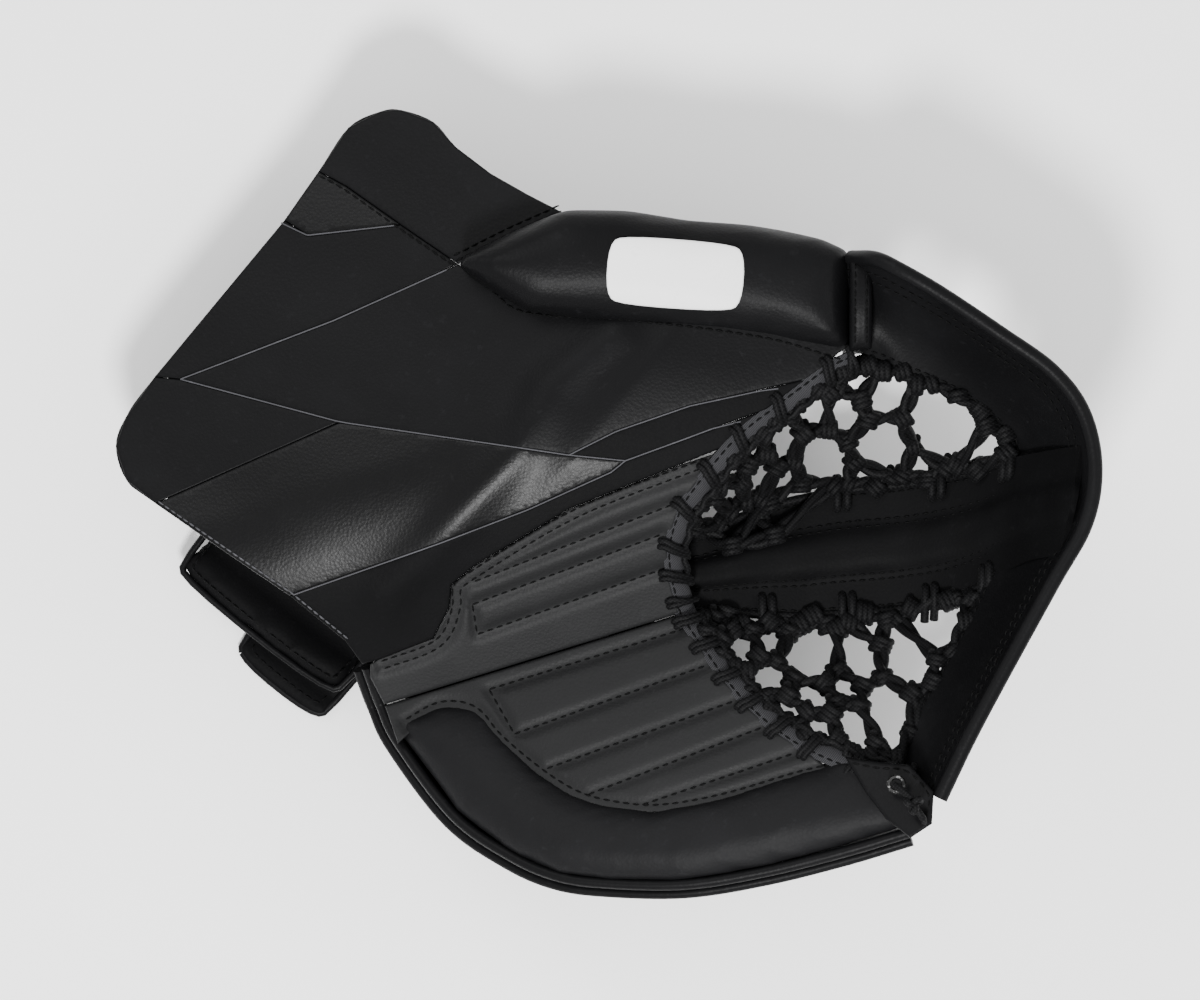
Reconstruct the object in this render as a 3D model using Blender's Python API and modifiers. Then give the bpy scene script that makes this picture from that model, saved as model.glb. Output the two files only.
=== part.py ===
"""Goalie catch glove lying on its back, palm up.

The cuff and the thumb make one side, the fingers the other, and the laced T pocket joins them.
Metres, +Z up. The thumb runs along +X at the far side, the fingers point to +X and -Y, and the
forearm leaves to -X and +Y. The floor is z = 0. Plan outlines are lists of corners in millimetres,
and heights are functions of the plan.
"""

import math

import bmesh
import bpy
from mathutils import Vector

MM = 0.001

# The break, about which the palm folds: a line that rises towards the pocket.
BREAK_HEEL = (-88.8, -86.6)
BREAK_DIRECTION = (0.955, 0.298)
BREAK_HEIGHT = 62.0
BREAK_RISE = 0.14
THUMB_SIDE_SLOPE = 0.52
FINGER_SIDE_SLOPE = 0.42

# The forearm's direction in plan, from the hand to the open end of the cuff.
FOREARM = (-0.784, 0.621)
CUFF_HEIGHT = 116.0
CUFF_FALL = 0.28
CUFF_FALL_START = 20.0
CREST_ROUNDING = 16.0

# Thicknesses of the layers, from the palm side down.
COVER = 2.4
LAYER_GAP = 1.3
BOARD = 16.0
LINING_INSET = 6.0
LINING = 3.0
PALM_PAD = 14.0
FINGER_PAD = 28.0
WALL = 2.0
BACK_BOARD = 14.0

# Laces, tapes and beads.
LACE_RADIUS = 1.4
TAPE_RADIUS = 3.4
WHIP_RADIUS = 6.3
WHIP_PITCH = 14.0
TAPE_DROP = 8.0
RIM_RADIUS = 3.2
BEAD_RADIUS = 2.1

# Wrist closure, measured across the forearm from the glove's centre.
FLAP_HINGE_ACROSS = -33.0
FLAP_HINGE_HEIGHT = 15.0
STRAP_HINGE_ACROSS = -45.0
STRAP_HINGE_HEIGHT = 2.5

GRID = 13.0
SEAM_GAP = 0.6
CENTRE_SHIFT = (-0.5, 0.46)

# Seams and edges in plan. Panels that meet share a seam.
CUFF_TOP = [(-122, 143.4), (-109, 162.5), (-95, 169.4), (-86, 169.9), (-72, 164.5), (-62, 153.3),
            (-47, 141.7), (-31, 132.4), (-15, 124)]
CUFF_END = [(-193, 54.4), (-136.7, 122.3)]
CUFF_TOE = [(-192, -0.5), (-205, 9.7), (-209.8, 24.3), (-205.5, 37)]
CUFF_LOWER = [(-103, -70), (-110, -60), (-133.7, -40.2)]
CORNER_SEAM = [(-109.7, 136.7), (-86, 119.8)]
THUMB_CORNER = (-61, 102.5)
NOTCH_POINT = (-126.6, 115.5)
WEDGE_SEAM = [(-181.5, 53.3), (-115, 78.3)]
DIAMOND_SEAM = [(-111.8, 34.6), (-34.8, 23.4)]
ACCENT_TIP = (-13.3, 20.2)
HEEL_TIP = (10.8, 17.8)
ACCENT_UPPER = [(6.9, 30.3), (38.3, 41.1), (68, 47.5)]
ACCENT_LOWER = [(48, 31.5), (36, 27)]
HEEL_SEAM = [(5, 13), (-31, -3.2), (-68.8, -17.6)]
THUMB_LOWER_SEAM = [(-45, 91.8), (-30, 82.8), (19.4, 78.9), (70, 72), (97, 64.5)]
PALM_SEAM = [(34, 16), (-13, -2.8), (-54, -27.3), (-64, -35.5), (-65, -45.4), (-72, -58.7), (-97, -68.6)]
FINGER_SEAM = [(85, -119), (53, -128.6), (25, -133.5), (3, -131.8), (-13, -127), (-30, -116.3), (-46, -103),
               (-56, -92.2), (-69, -90.8), (-83, -98.3)]
FINGER_ROLL_EDGE = [(-86, -104), (-62, -134.4), (-38, -150.7), (-18, -158.9), (3, -161.5), (36, -161.5),
                    (69, -156), (102, -147.5), (131, -138.5)]
UPPER_PALM_RIM = [(86, 60.5), (76, 54)]
LACED_EDGE_UPPER = [(96, 56.5), (75, 42), (58.5, 29), (45, 13.5), (34, -2.4), (29, -19), (30.5, -32)]
LACED_EDGE_LOWER = [(41, -58), (52.5, -75.3), (62.6, -87), (75, -97.8), (88, -106), (109, -114.5)]

THUMB_OUTLINE = [THUMB_CORNER, (-38, 114), (-15, 124), (8.6, 122.8), (37, 118), (62.4, 116.3), (93.7, 111.6),
                 (105.4, 106.6), (105.4, 65)] + THUMB_LOWER_SEAM[:-1][::-1]
STEM_TOP_EDGE = [(36, -20), (43, -16), (69, -3.2), (104, 4.9), (133, 8), (165, 12), (170, 9)]
STEM_BOTTOM_EDGE = [(167, -21), (160, -36), (152, -42), (128, -46), (97, -48.5), (84, -49),
                    (43, -44.5), (35, -40)]
STEM_PAD_OUTLINE = [(50, -17), (93, -11.4), (150, -7), (165, -5), (165, -20), (128, -28), (93, -31.6),
                    (50, -36)]

ROOT = "thumb_side"


def unit(vector):
    length = math.hypot(*vector)
    return tuple(value / length for value in vector)


def along_break(x, y):
    return (x - BREAK_HEEL[0]) * BREAK_DIRECTION[0] + (y - BREAK_HEEL[1]) * BREAK_DIRECTION[1]


def across_break(x, y):
    return (y - BREAK_HEEL[1]) * BREAK_DIRECTION[0] - (x - BREAK_HEEL[0]) * BREAK_DIRECTION[1]


def from_break(along, across):
    """The plan point at these distances along and across the break."""
    return (
        BREAK_HEEL[0] + along * BREAK_DIRECTION[0] - across * BREAK_DIRECTION[1],
        BREAK_HEEL[1] + along * BREAK_DIRECTION[1] + across * BREAK_DIRECTION[0],
    )


def from_forearm(along, across):
    """The plan point at these distances along the forearm and across it."""
    return (
        along * FOREARM[0] + across * FOREARM[1],
        along * FOREARM[1] - across * FOREARM[0],
    )


def break_height(x, y):
    return BREAK_HEIGHT + BREAK_RISE * along_break(x, y)


def smooth_min(a, b, rounding):
    near = max(rounding - abs(a - b), 0.0) / rounding
    return min(a, b) - near * near * rounding / 4


def skin(x, y):
    """Height of the palm-side leather: valley at the break, crest at the wrist, falling cuff."""
    across = across_break(x, y)
    slope = THUMB_SIDE_SLOPE if across > 0 else FINGER_SIDE_SLOPE
    palm = break_height(x, y) + slope * abs(across)
    forearm = x * FOREARM[0] + y * FOREARM[1]
    cuff = CUFF_HEIGHT - CUFF_FALL * max(0.0, forearm - CUFF_FALL_START)
    return smooth_min(palm, cuff, CREST_ROUNDING) if across > 0 else palm


def below_skin(depth):
    return lambda x, y: skin(x, y) - depth


def level(height):
    return lambda x, y: height


def thumb_top(x, y):
    middle = 100.0 - 0.10 * x
    across = min(1.0, abs(y - middle) / 26.0)
    return 113.0 + 13.0 * math.sqrt(1.0 - across * across)


def stem_top(x, y):
    return 60.0 + 0.0033 * (x - 95.0) ** 2


def above(height, rise):
    return lambda x, y: height(x, y) + rise


def inset(outline, distance):
    """The closed outline with each side moved inwards by this distance."""
    area = sum(a[0] * b[1] - b[0] * a[1] for a, b in zip(outline, outline[1:] + outline[:1]))
    side = 1.0 if area > 0 else -1.0
    moved = []
    for before, here, after in zip(outline[-1:] + outline[:-1], outline, outline[1:] + outline[:1]):
        first = unit((here[0] - before[0], here[1] - before[1]))
        second = unit((after[0] - here[0], after[1] - here[1]))
        normal = (-(first[1] + second[1]) * side, (first[0] + second[0]) * side)
        square = normal[0] ** 2 + normal[1] ** 2
        scale = 2 * distance / max(square, 0.6)
        moved.append((here[0] + normal[0] * scale, here[1] + normal[1] * scale))
    return moved


def smooth_path(points, steps):
    """Points on a Catmull-Rom curve through these points, this many to each stretch."""
    ends = [points[0]] + list(points) + [points[-1]]
    path = []
    for i in range(1, len(ends) - 2):
        for k in range(steps):
            path.append(catmull_rom(ends[i - 1:i + 3], k / steps))
    return path + [tuple(points[-1])]


def catmull_rom(four, t):
    a, b, c, d = four
    return tuple(
        0.5 * (2 * q + (r - p) * t + (2 * p - 5 * q + 4 * r - s) * t * t + (3 * q - p - 3 * r + s) * t ** 3)
        for p, q, r, s in zip(a, b, c, d)
    )


def point_at(path, fraction):
    """The point this far along a path of any number of points, by length."""
    lengths = [math.dist(a, b) for a, b in zip(path, path[1:])]
    left = fraction * sum(lengths)
    for a, b, length in zip(path, path[1:], lengths):
        if left <= length:
            share = left / length
            return tuple(p + (q - p) * share for p, q in zip(a, b))
        left -= length
    return tuple(path[-1])


def with_height(outline, height):
    return [(x, y, height(x, y)) for x, y in outline]


def to_world(x, y, z):
    return ((x + CENTRE_SHIFT[0]) * MM, (y + CENTRE_SHIFT[1]) * MM, z * MM)


def make_material(name, colour, roughness):
    made = bpy.data.materials.new(name)
    made.use_nodes = True
    shader = made.node_tree.nodes["Principled BSDF"]
    shader.inputs["Base Color"].default_value = (*colour, 1.0)
    shader.inputs["Roughness"].default_value = roughness
    shader.inputs["Metallic"].default_value = 0.0
    return made


def add_object(name, data, look, body):
    data.materials.append(look)
    piece = bpy.data.objects.new(name, data)
    bpy.data.collections["goalie_catch_glove"].objects.link(piece)
    hinge = bpy.data.objects[body]
    piece.parent = hinge
    piece.matrix_parent_inverse = hinge.matrix_world.inverted()
    return piece


def finish_mesh(bm, name, look, body):
    bmesh.ops.recalc_face_normals(bm, faces=bm.faces[:])
    mesh = bpy.data.meshes.new(name)
    bm.to_mesh(mesh)
    bm.free()
    return add_object(name, mesh, look, body)


def cut_on_grid(bm, axis, low, high, spacing):
    """Cuts the flat face with parallel lines, so that it can bend between them."""
    normal = Vector((1, 0, 0)) if axis == 0 else Vector((0, 1, 0))
    line = (math.floor(low / spacing) + 1) * spacing
    while line < high:
        geometry = bm.verts[:] + bm.edges[:] + bm.faces[:]
        bmesh.ops.bisect_plane(bm, geom=geometry, dist=0.4 * MM, plane_co=normal * line * MM, plane_no=normal)
        line += spacing


def pad(name, outline, top, bottom, look, body=ROOT, spacing=GRID):
    """A solid of this plan outline between two heights."""
    bm = bmesh.new()
    corners = [bm.verts.new((x * MM, y * MM, 0)) for x, y in outline]
    edges = [bm.edges.new((a, b)) for a, b in zip(corners, corners[1:] + corners[:1])]
    bmesh.ops.contextual_create(bm, geom=edges)
    for axis in (0, 1):
        values = [point[axis] for point in outline]
        cut_on_grid(bm, axis, min(values), max(values), spacing)
    made = bmesh.ops.extrude_face_region(bm, geom=bm.faces[:])["geom"]
    upper = {vert for vert in made if isinstance(vert, bmesh.types.BMVert)}
    for vert in bm.verts:
        x, y = vert.co.x / MM, vert.co.y / MM
        height = top(x, y) if vert in upper else bottom(x, y)
        vert.co = to_world(x, y, height)
    bmesh.ops.triangulate(bm, faces=bm.faces[:])
    return finish_mesh(bm, name, look, body)


def strip(name, inner, outer, thickness, look, body=ROOT, across=2, sag=0.0):
    """A curved sheet between two edges, each a list of as many points with heights."""
    bm = bmesh.new()
    bmesh.ops.create_grid(bm, x_segments=len(inner) - 1, y_segments=across, size=0.5)
    for vert in bm.verts:
        number, v = round((vert.co.x + 0.5) * (len(inner) - 1)), vert.co.y + 0.5
        a, b = inner[number], outer[number]
        x, y, z = (p + (q - p) * v for p, q in zip(a, b))
        vert.co = to_world(x, y, z - sag * math.sin(math.pi * v))
    mesh = bpy.data.meshes.new(name)
    bm.to_mesh(mesh)
    bm.free()
    piece = add_object(name, mesh, look, body)
    wall = piece.modifiers.new("Wall", "SOLIDIFY")
    wall.thickness = thickness * MM
    wall.offset = 0.0
    return piece


def cord(name, path, radius, look, body=ROOT, sides=2):
    """A tube along a list of points with heights."""
    curve = bpy.data.curves.new(name, "CURVE")
    curve.dimensions = "3D"
    curve.bevel_depth = radius * MM
    curve.bevel_resolution = sides
    curve.use_fill_caps = True
    spline = curve.splines.new("POLY")
    spline.points.add(len(path) - 1)
    for point, place in zip(spline.points, path):
        point.co = (*to_world(*place), 1.0)
    return add_object(name, curve, look, body)


def whip_path(edge):
    """The route of a lace that turns round and round a laced edge, through holes just inside it."""
    length = sum(math.dist(a, b) for a, b in zip(edge, edge[1:]))
    turns = round(length / WHIP_PITCH)
    steps = turns * 8
    path = []
    for i in range(steps + 1):
        here = point_at(edge, i / steps)
        ahead = point_at(edge, min(1.0, i / steps + 0.01))
        behind = point_at(edge, max(0.0, i / steps - 0.01))
        sideways = unit((behind[1] - ahead[1], ahead[0] - behind[0]))
        angle = 2 * math.pi * turns * i / steps
        reach = WHIP_RADIUS * math.cos(angle)
        path.append((here[0] + reach * sideways[0], here[1] + reach * sideways[1],
                     here[2] + WHIP_RADIUS * math.sin(angle)))
    return path


def sleeve(name, mouth, tip, radii, wall, look, body):
    """A sleeve of these inner radii for a finger or the thumb, open at the mouth and closed at the tip."""
    bm = bmesh.new()
    length = math.dist(mouth, tip)
    bmesh.ops.create_cone(bm, cap_ends=True, segments=14, radius1=1, radius2=0.8, depth=1)
    open_end = [face for face in bm.faces if face.calc_center_median().z < -0.49]
    bmesh.ops.delete(bm, geom=open_end, context="FACES_ONLY")
    turn = math.atan2(tip[1] - mouth[1], tip[0] - mouth[0])
    for vert in bm.verts:
        run = (vert.co.z + 0.5) * length
        side = vert.co.x * radii[0]
        vert.co = to_world(
            mouth[0] + run * math.cos(turn) - side * math.sin(turn),
            mouth[1] + run * math.sin(turn) + side * math.cos(turn),
            mouth[2] + vert.co.y * radii[1],
        )
    piece = finish_mesh(bm, name, look, body)
    shell = piece.modifiers.new("Wall", "SOLIDIFY")
    shell.thickness = wall * MM
    shell.offset = -1.0
    return piece


def add_hinge(name, place, axis):
    """An empty on a hinge, its X along the hinge's axis."""
    hinge = bpy.data.objects.new(name, None)
    hinge.location = to_world(*place)
    hinge.rotation_euler = Vector(axis).to_track_quat("X", "Z").to_euler()
    bpy.data.collections["goalie_catch_glove"].objects.link(hinge)


def add_bodies():
    fold_axis = (-BREAK_DIRECTION[0], -BREAK_DIRECTION[1], -BREAK_RISE)
    flap_axis = (-FOREARM[0], -FOREARM[1], 0)
    add_hinge(ROOT, (0, 0, 0), (1, 0, 0))
    add_hinge("finger_side", (*BREAK_HEEL, BREAK_HEIGHT), fold_axis)
    add_hinge("pocket_spine", (*BREAK_HEEL, BREAK_HEIGHT), fold_axis)
    add_hinge("wrist_flap_body", (*from_forearm(80, FLAP_HINGE_ACROSS), FLAP_HINGE_HEIGHT), flap_axis)
    add_hinge("wrist_strap_body", (*from_forearm(60, STRAP_HINGE_ACROSS), STRAP_HINGE_HEIGHT), flap_axis)
    bpy.context.view_layer.update()


def add_cuff_covers(looks):
    """The leather panels over the cuff and the heel, each meeting the next at a seam."""
    cuff_wedge = [CUFF_END[0], CUFF_END[1], NOTCH_POINT, CORNER_SEAM[1], THUMB_CORNER] + WEDGE_SEAM[::-1]
    diamond = (WEDGE_SEAM + [THUMB_CORNER] + THUMB_LOWER_SEAM + UPPER_PALM_RIM + ACCENT_UPPER[::-1]
               + [ACCENT_TIP] + DIAMOND_SEAM[::-1])
    dark = DIAMOND_SEAM + [ACCENT_TIP, HEEL_TIP] + HEEL_SEAM + CUFF_LOWER[2:] + CUFF_TOE[:1]
    ridge = [HEEL_TIP] + ACCENT_LOWER[::-1] + PALM_SEAM + CUFF_LOWER + HEEL_SEAM[::-1]
    panels = {
        "cuff_corner_panel": (CUFF_TOP + [(-38, 114), THUMB_CORNER] + CORNER_SEAM[::-1], "smooth"),
        "cuff_notch_panel": ([CUFF_END[1], CUFF_TOP[0]] + CORNER_SEAM + [NOTCH_POINT], "glossy"),
        "cuff_wedge_panel": (cuff_wedge, "smooth"),
        "cuff_diamond_panel": (diamond, "smooth"),
        "cuff_end_panel": (CUFF_TOE + [CUFF_END[0], WEDGE_SEAM[0], DIAMOND_SEAM[0]], "smooth"),
        "cuff_dark_panel": (dark, "glossy"),
        "accent_panel": ([ACCENT_TIP] + ACCENT_UPPER + ACCENT_LOWER + [HEEL_TIP], "glossy"),
        "heel_ridge_panel": (ridge, "glossy"),
    }
    for name, (outline, look) in panels.items():
        pad(name, inset(outline, SEAM_GAP), skin, below_skin(COVER), looks[look])


def add_cuff_body(looks):
    """The stiff board inside the cuff, the strip round its edge and the linings behind it."""
    core = (CUFF_TOE + CUFF_END + CUFF_TOP + [(-38, 114), THUMB_CORNER] + THUMB_LOWER_SEAM + UPPER_PALM_RIM
            + [ACCENT_UPPER[-1], ACCENT_LOWER[0]] + PALM_SEAM + CUFF_LOWER)
    board_top = COVER + LAYER_GAP
    board_bottom = board_top + BOARD
    lining_top = board_bottom + LAYER_GAP
    pad("cuff_board", inset(core, 4.8), below_skin(board_top), below_skin(board_bottom), looks["foam"])
    lining_bottom = lining_top + LINING
    lining_edge = [(-40, 116), (-62, 100), (-32, 78), (-26, 50), (-93, -38)]
    cuff_lining = CUFF_TOE + CUFF_END + CUFF_TOP[:-2] + lining_edge + CUFF_LOWER[1:]
    heel_lining = [(-25, 79), (19, 75), (66, 68), (78, 58), (60, 44), (31, 18), (-14, -2), (-55, -26),
                   (-66, -40), (-72, -57), (-92, -66), (-88, -37), (-21, 50)]
    for name, outline in (("cuff_lining", cuff_lining), ("heel_lining", heel_lining)):
        inner = inset(outline, LINING_INSET)
        pad(name, inner, below_skin(lining_top), below_skin(lining_bottom), looks["textile"])
    edge = CUFF_LOWER[1:] + CUFF_TOE + CUFF_END + CUFF_TOP
    closed = inset(edge + [THUMB_CORNER], 2.6)[:len(edge)]
    strip(
        "cuff_boxing",
        with_height(closed, below_skin(board_top)),
        with_height(closed, below_skin(board_bottom)),
        1.6, looks["smooth"],
    )


def add_thumb(looks):
    outline = inset(THUMB_OUTLINE, SEAM_GAP)
    pad("thumb_pad", outline, thumb_top, level(78), looks["smooth"])
    patch = [(2, 84.5), (60, 80.5), (62, 109.5), (4, 114)]
    pad("thumb_patch", patch, above(thumb_top, 1.9), above(thumb_top, 0.8), looks["white"])
    back = inset(THUMB_OUTLINE[1:-3], 2.0)
    pad("thumb_back_pad", back, level(30), level(0), looks["smooth"])
    side = [(-14, 119.5), (10, 119), (37, 114.6), (62, 112.8), (93, 108.2), (101, 104.6)]
    foot, head = with_height(side, level(31.5)), with_height(side, level(76.5))
    strip("thumb_gusset", foot, head, WALL, looks["smooth"])
    sleeve("thumb_stall", (-4, 96, 53), (88, 87, 53), (14.5, 16), 2.2, looks["textile"], ROOT)
    strap = [(106.8, 65), (115, 66), (115, 105), (106.8, 106)]
    pad("thumb_end_binding", strap, lambda x, y: 128 - 0.012 * (y - 86) ** 2, level(34), looks["smooth"])


def add_palm(looks):
    """The two quilted halves of the palm, either side of the break."""
    upper = PALM_SEAM[::-1] + [(25.5, 1.5), (20, -18), (21.5, -38), from_break(117, 1.2), from_break(-2, 1.2)]
    pad("palm_upper", inset(upper, SEAM_GAP), skin, below_skin(PALM_PAD), looks["palm"])
    rim = [(35.5, -67.5), (45.5, -81), (56.5, -94), (70, -105.5)]
    lower = [from_break(0, -1.2), from_break(117, -1.2), *rim, *FINGER_SEAM]
    pad("palm_lower", inset(lower, SEAM_GAP), skin, below_skin(PALM_PAD), looks["palm"], "finger_side")
    liner_top = PALM_PAD + 1.2
    pad("palm_liner", inset(lower, 5.0), below_skin(liner_top), below_skin(liner_top + 2), looks["textile"],
        "finger_side")


def add_laced_edges(looks):
    """The woven tape on the pocket's edge and the lace whipped round it, on either side of the break."""
    sides = (("upper", LACED_EDGE_UPPER, ROOT), ("lower", LACED_EDGE_LOWER, "finger_side"))
    for name, edge, body in sides:
        path = with_height(smooth_path(edge, 3), below_skin(TAPE_DROP))
        cord(f"palm_edge_tape_{name}", path, TAPE_RADIUS, looks["tape"], body)
        cord(f"palm_whip_lace_{name}", whip_path(path), LACE_RADIUS, looks["lace"], body, sides=0)


def finger_pad_top(x, y):
    """The roll's crowned top, highest along the middle of the finger pad."""
    depth = -across_break(x, y)
    middle = 88.0 + 0.08 * (along_break(x, y) - 70.0)
    across = min(1.0, abs(depth - middle) / 32.0)
    return skin(x, y) - 2.0 + 9.0 * math.sqrt(1.0 - across * across)


def offset_path(path, distance):
    """The open path moved sideways, to its right."""
    moved = []
    for i, here in enumerate(path):
        before, after = path[max(0, i - 1)], path[min(len(path) - 1, i + 1)]
        run = unit((after[0] - before[0], after[1] - before[1]))
        moved.append((here[0] + run[1] * distance, here[1] - run[0] * distance))
    return moved


def add_finger_side(looks):
    """The finger pad, the back-of-hand board, the wall between them and the stalls inside."""
    pad_edge = [(128, -131), (122, -128), (108, -124), (97, -121.5)]
    outline = FINGER_ROLL_EDGE + pad_edge + FINGER_SEAM
    pad("finger_pad", inset(outline, SEAM_GAP), finger_pad_top, below_skin(FINGER_PAD - 6), looks["smooth"],
        "finger_side")
    piping = with_height(smooth_path(offset_path(FINGER_ROLL_EDGE, 2.4), 2), below_skin(12))
    cord("finger_pad_piping", piping, BEAD_RADIUS, looks["smooth"], "finger_side", sides=1)
    wall = offset_path(FINGER_ROLL_EDGE, -3.0)
    foot, head = with_height(wall, level(BACK_BOARD + 1.5)), with_height(wall, below_skin(FINGER_PAD - 4))
    strip("finger_gusset", foot, head,
          2.0, looks["smooth"], "finger_side")
    board_edge = offset_path(FINGER_ROLL_EDGE, 3.2)
    board = board_edge + [(124, -131), (100, -119), (84, -112), (70, -103), (57, -92), (45, -78), (33, -62),
                          (22, -50), from_break(110, 33), from_break(35, 33), from_break(0, -3)]
    pad("back_of_hand_board", board, level(BACK_BOARD), level(0), looks["smooth"], "finger_side", spacing=48)
    bead = with_height(smooth_path(offset_path(board_edge, 2.9), 2), level(10))
    cord("back_board_bead", bead, BEAD_RADIUS, looks["smooth"], "finger_side", sides=1)


def add_finger_stalls(looks):
    """Four sleeves side by side behind the palm, for the fingers."""
    run = unit((0.93, -0.37))
    across = (-run[1], run[0])
    lengths = {"little": 52, "ring": 62, "middle": 66, "index": 60}
    for number, (finger, length) in enumerate(lengths.items()):
        offset = 21.0 * number
        mouth = (-40 + across[0] * offset, -118 + across[1] * offset, 36)
        tip = (mouth[0] + run[0] * length, mouth[1] + run[1] * length, 36)
        sleeve(f"{finger}_finger_stall", mouth, tip, (7.8, 10.5), 1.5, looks["textile"], "finger_side")


def add_fingertip(looks):
    tab = [(119, -114), (129, -112), (140, -124), (138.5, -135), (130.5, -140.5), (121, -131)]
    pad("fingertip_tab", tab, above(skin, 10.6), above(skin, 8.2), looks["smooth"], "finger_side")
    bpy.ops.mesh.primitive_torus_add(
        major_segments=14, minor_segments=6, major_radius=3.2 * MM, minor_radius=1.0 * MM,
        location=to_world(125, -119, skin(125, -119) + 14.2))
    adopt("tab_eyelet", looks["metal"], "finger_side")
    bpy.ops.mesh.primitive_uv_sphere_add(
        segments=12, ring_count=8, radius=4.6 * MM, location=to_world(132, -127, skin(132, -127) + 17.0))
    adopt("tab_lace_knot", looks["lace"], "finger_side")


def adopt(name, look, body):
    """Names a primitive that was just added, and gives it its material and its hinge."""
    piece = bpy.context.active_object
    piece.name = name
    piece.data.name = name
    piece.data.materials.append(look)
    for holder in piece.users_collection:
        holder.objects.unlink(piece)
    bpy.data.collections["goalie_catch_glove"].objects.link(piece)
    piece.parent = bpy.data.objects[body]
    piece.matrix_parent_inverse = piece.parent.matrix_world.inverted()


def net_height(anchors):
    """A height for each plan point, weighted by how near it is to each anchor on the net's border."""
    def height(x, y):
        weights = [1.0 / (0.5 + math.dist((x, y), anchor[:2])) ** 3 for anchor in anchors]
        return sum(w * anchor[2] for w, anchor in zip(weights, anchors)) / sum(weights)
    return height


def add_pocket(looks):
    """The T stem in the middle of the pocket, and the two nets between it, the palm and the band."""
    stem = STEM_TOP_EDGE + STEM_BOTTOM_EDGE
    pad("t_stem", stem, stem_top, above(stem_top, -4.0), looks["smooth"], "pocket_spine")
    pad_top, pad_bottom = above(stem_top, 8.5), above(stem_top, 1.0)
    pad("t_stem_pad", STEM_PAD_OUTLINE, pad_top, pad_bottom, looks["smooth"], "pocket_spine")
    lace_height = above(stem_top, -1.5)
    upper_lace = with_height(offset_path(STEM_TOP_EDGE[1:-1], -2.7), lace_height)
    lower_lace = with_height(offset_path(STEM_BOTTOM_EDGE[1:-1], -2.7), lace_height)
    for name, lace in (("stem_edge_lace_upper", upper_lace), ("stem_edge_lace_lower", lower_lace)):
        cord(name, smooth_path(lace, 3), LACE_RADIUS, looks["lace"], "pocket_spine", sides=0)
    palm_upper = [(46, -7), (52, 6.5), (64.4, 22.7), (80, 35), (96.5, 47)]
    band_upper = [(110, 53), (128, 52), (155, 41.5), (172, 27)]
    stem_upper = [(164, 19.5), (133, 14.3), (104, 11), (75, 4.5)]
    add_net("upper_net", palm_upper, band_upper, stem_upper, looks, ROOT)
    palm_lower = [(52, -54), (60, -70), (69, -81), (80.5, -90.5), (91.5, -98), (108, -104)]
    band_lower = [(121, -102.5), (147, -64.5), (162, -39)]
    stem_lower = [(150, -50), (128, -52.3), (97, -54.5), (84, -55.5)]
    add_net("lower_net", palm_lower, band_lower, stem_lower, looks, "finger_side")


def add_net(name, palm_edge, band_edge, stem_edge, looks, body):
    anchors = (with_height(palm_edge, below_skin(10)) + with_height(stem_edge, stem_top)
               + [(x, y, 104 - 0.27 * (x - 115)) for x, y in band_edge])
    height = net_height(anchors)
    pad(name, palm_edge + band_edge + stem_edge, height, above(height, -3.5), looks["lace"], body, spacing=12)


def add_band(looks):
    """The bar of the T: a wall round the pocket in three parts, each with a bound rim."""
    parts = {
        "upper": (ROOT,
                  [(118.5, 62, 106), (129, 57.5, 102), (157, 46.5, 96), (178, 28.5, 89), (181, 20.5, 88)],
                  [(118.5, 103, 138), (145, 87.5, 139), (169.5, 71, 140), (190, 57, 140), (199, 47, 139)]),
        "middle": ("pocket_spine",
                   [(174.5, 11, 85), (173, -4, 84), (171, -18.5, 85)],
                   [(206.5, 20, 139), (207, 6, 140), (203.5, -9, 139)]),
        "lower": ("finger_side",
                  [(172, -27.5, 88), (151, -67, 94), (133, -97, 104), (129, -103, 107)],
                  [(185, -43.5, 139), (178, -56.5, 140), (158.5, -92, 140), (147, -117, 138)]),
    }
    for name, (body, inner, outer) in parts.items():
        strip(f"band_{name}", smooth_path(inner, 3), smooth_path(outer, 3), 5.0, looks["smooth"], body,
              across=4, sag=6.0)
        rim = [(x, y, z + RIM_RADIUS + 2.4) for x, y, z in smooth_path(outer, 2)]
        cord(f"band_rim_{name}", rim, RIM_RADIUS, looks["smooth"], body, sides=1)


def add_wrist(looks):
    """The back-of-wrist flap, the strap that closes it, and the wall that carries the flap."""
    flap = [from_forearm(124, FLAP_HINGE_ACROSS), from_forearm(128, -134), from_forearm(122, -139.5),
            from_forearm(44, -139.5), from_forearm(38, -132), from_forearm(42, FLAP_HINGE_ACROSS)]
    pad("wrist_flap", flap, level(20), level(10.4), looks["smooth"], "wrist_flap_body", spacing=60)
    loop = [from_forearm(80, -60), from_forearm(80, -125), from_forearm(42, -125), from_forearm(42, -60)]
    pad("loop_patch", loop, level(9.7), level(8.3), looks["textile"], "wrist_flap_body", spacing=200)
    hook = inset(loop, 3.0)
    pad("hook_patch", hook, level(7.4), level(6.0), looks["textile"], "wrist_strap_body", spacing=200)
    strap = [from_forearm(84, STRAP_HINGE_ACROSS), from_forearm(86, -146), from_forearm(80, -152),
             from_forearm(42, -152), from_forearm(37, -146), from_forearm(38, STRAP_HINGE_ACROSS)]
    pad("wrist_strap", strap, level(5.2), level(0), looks["smooth"], "wrist_strap_body", spacing=60)
    foot = [from_forearm(52, -27), from_forearm(135, -27)]
    lower, upper = with_height(foot, level(12)), with_height(foot, below_skin(26.0))
    strip("wrist_gusset", lower, upper, 3.0, looks["smooth"])


def clear_scene():
    for piece in list(bpy.data.objects):
        bpy.data.objects.remove(piece, do_unlink=True)


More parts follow.
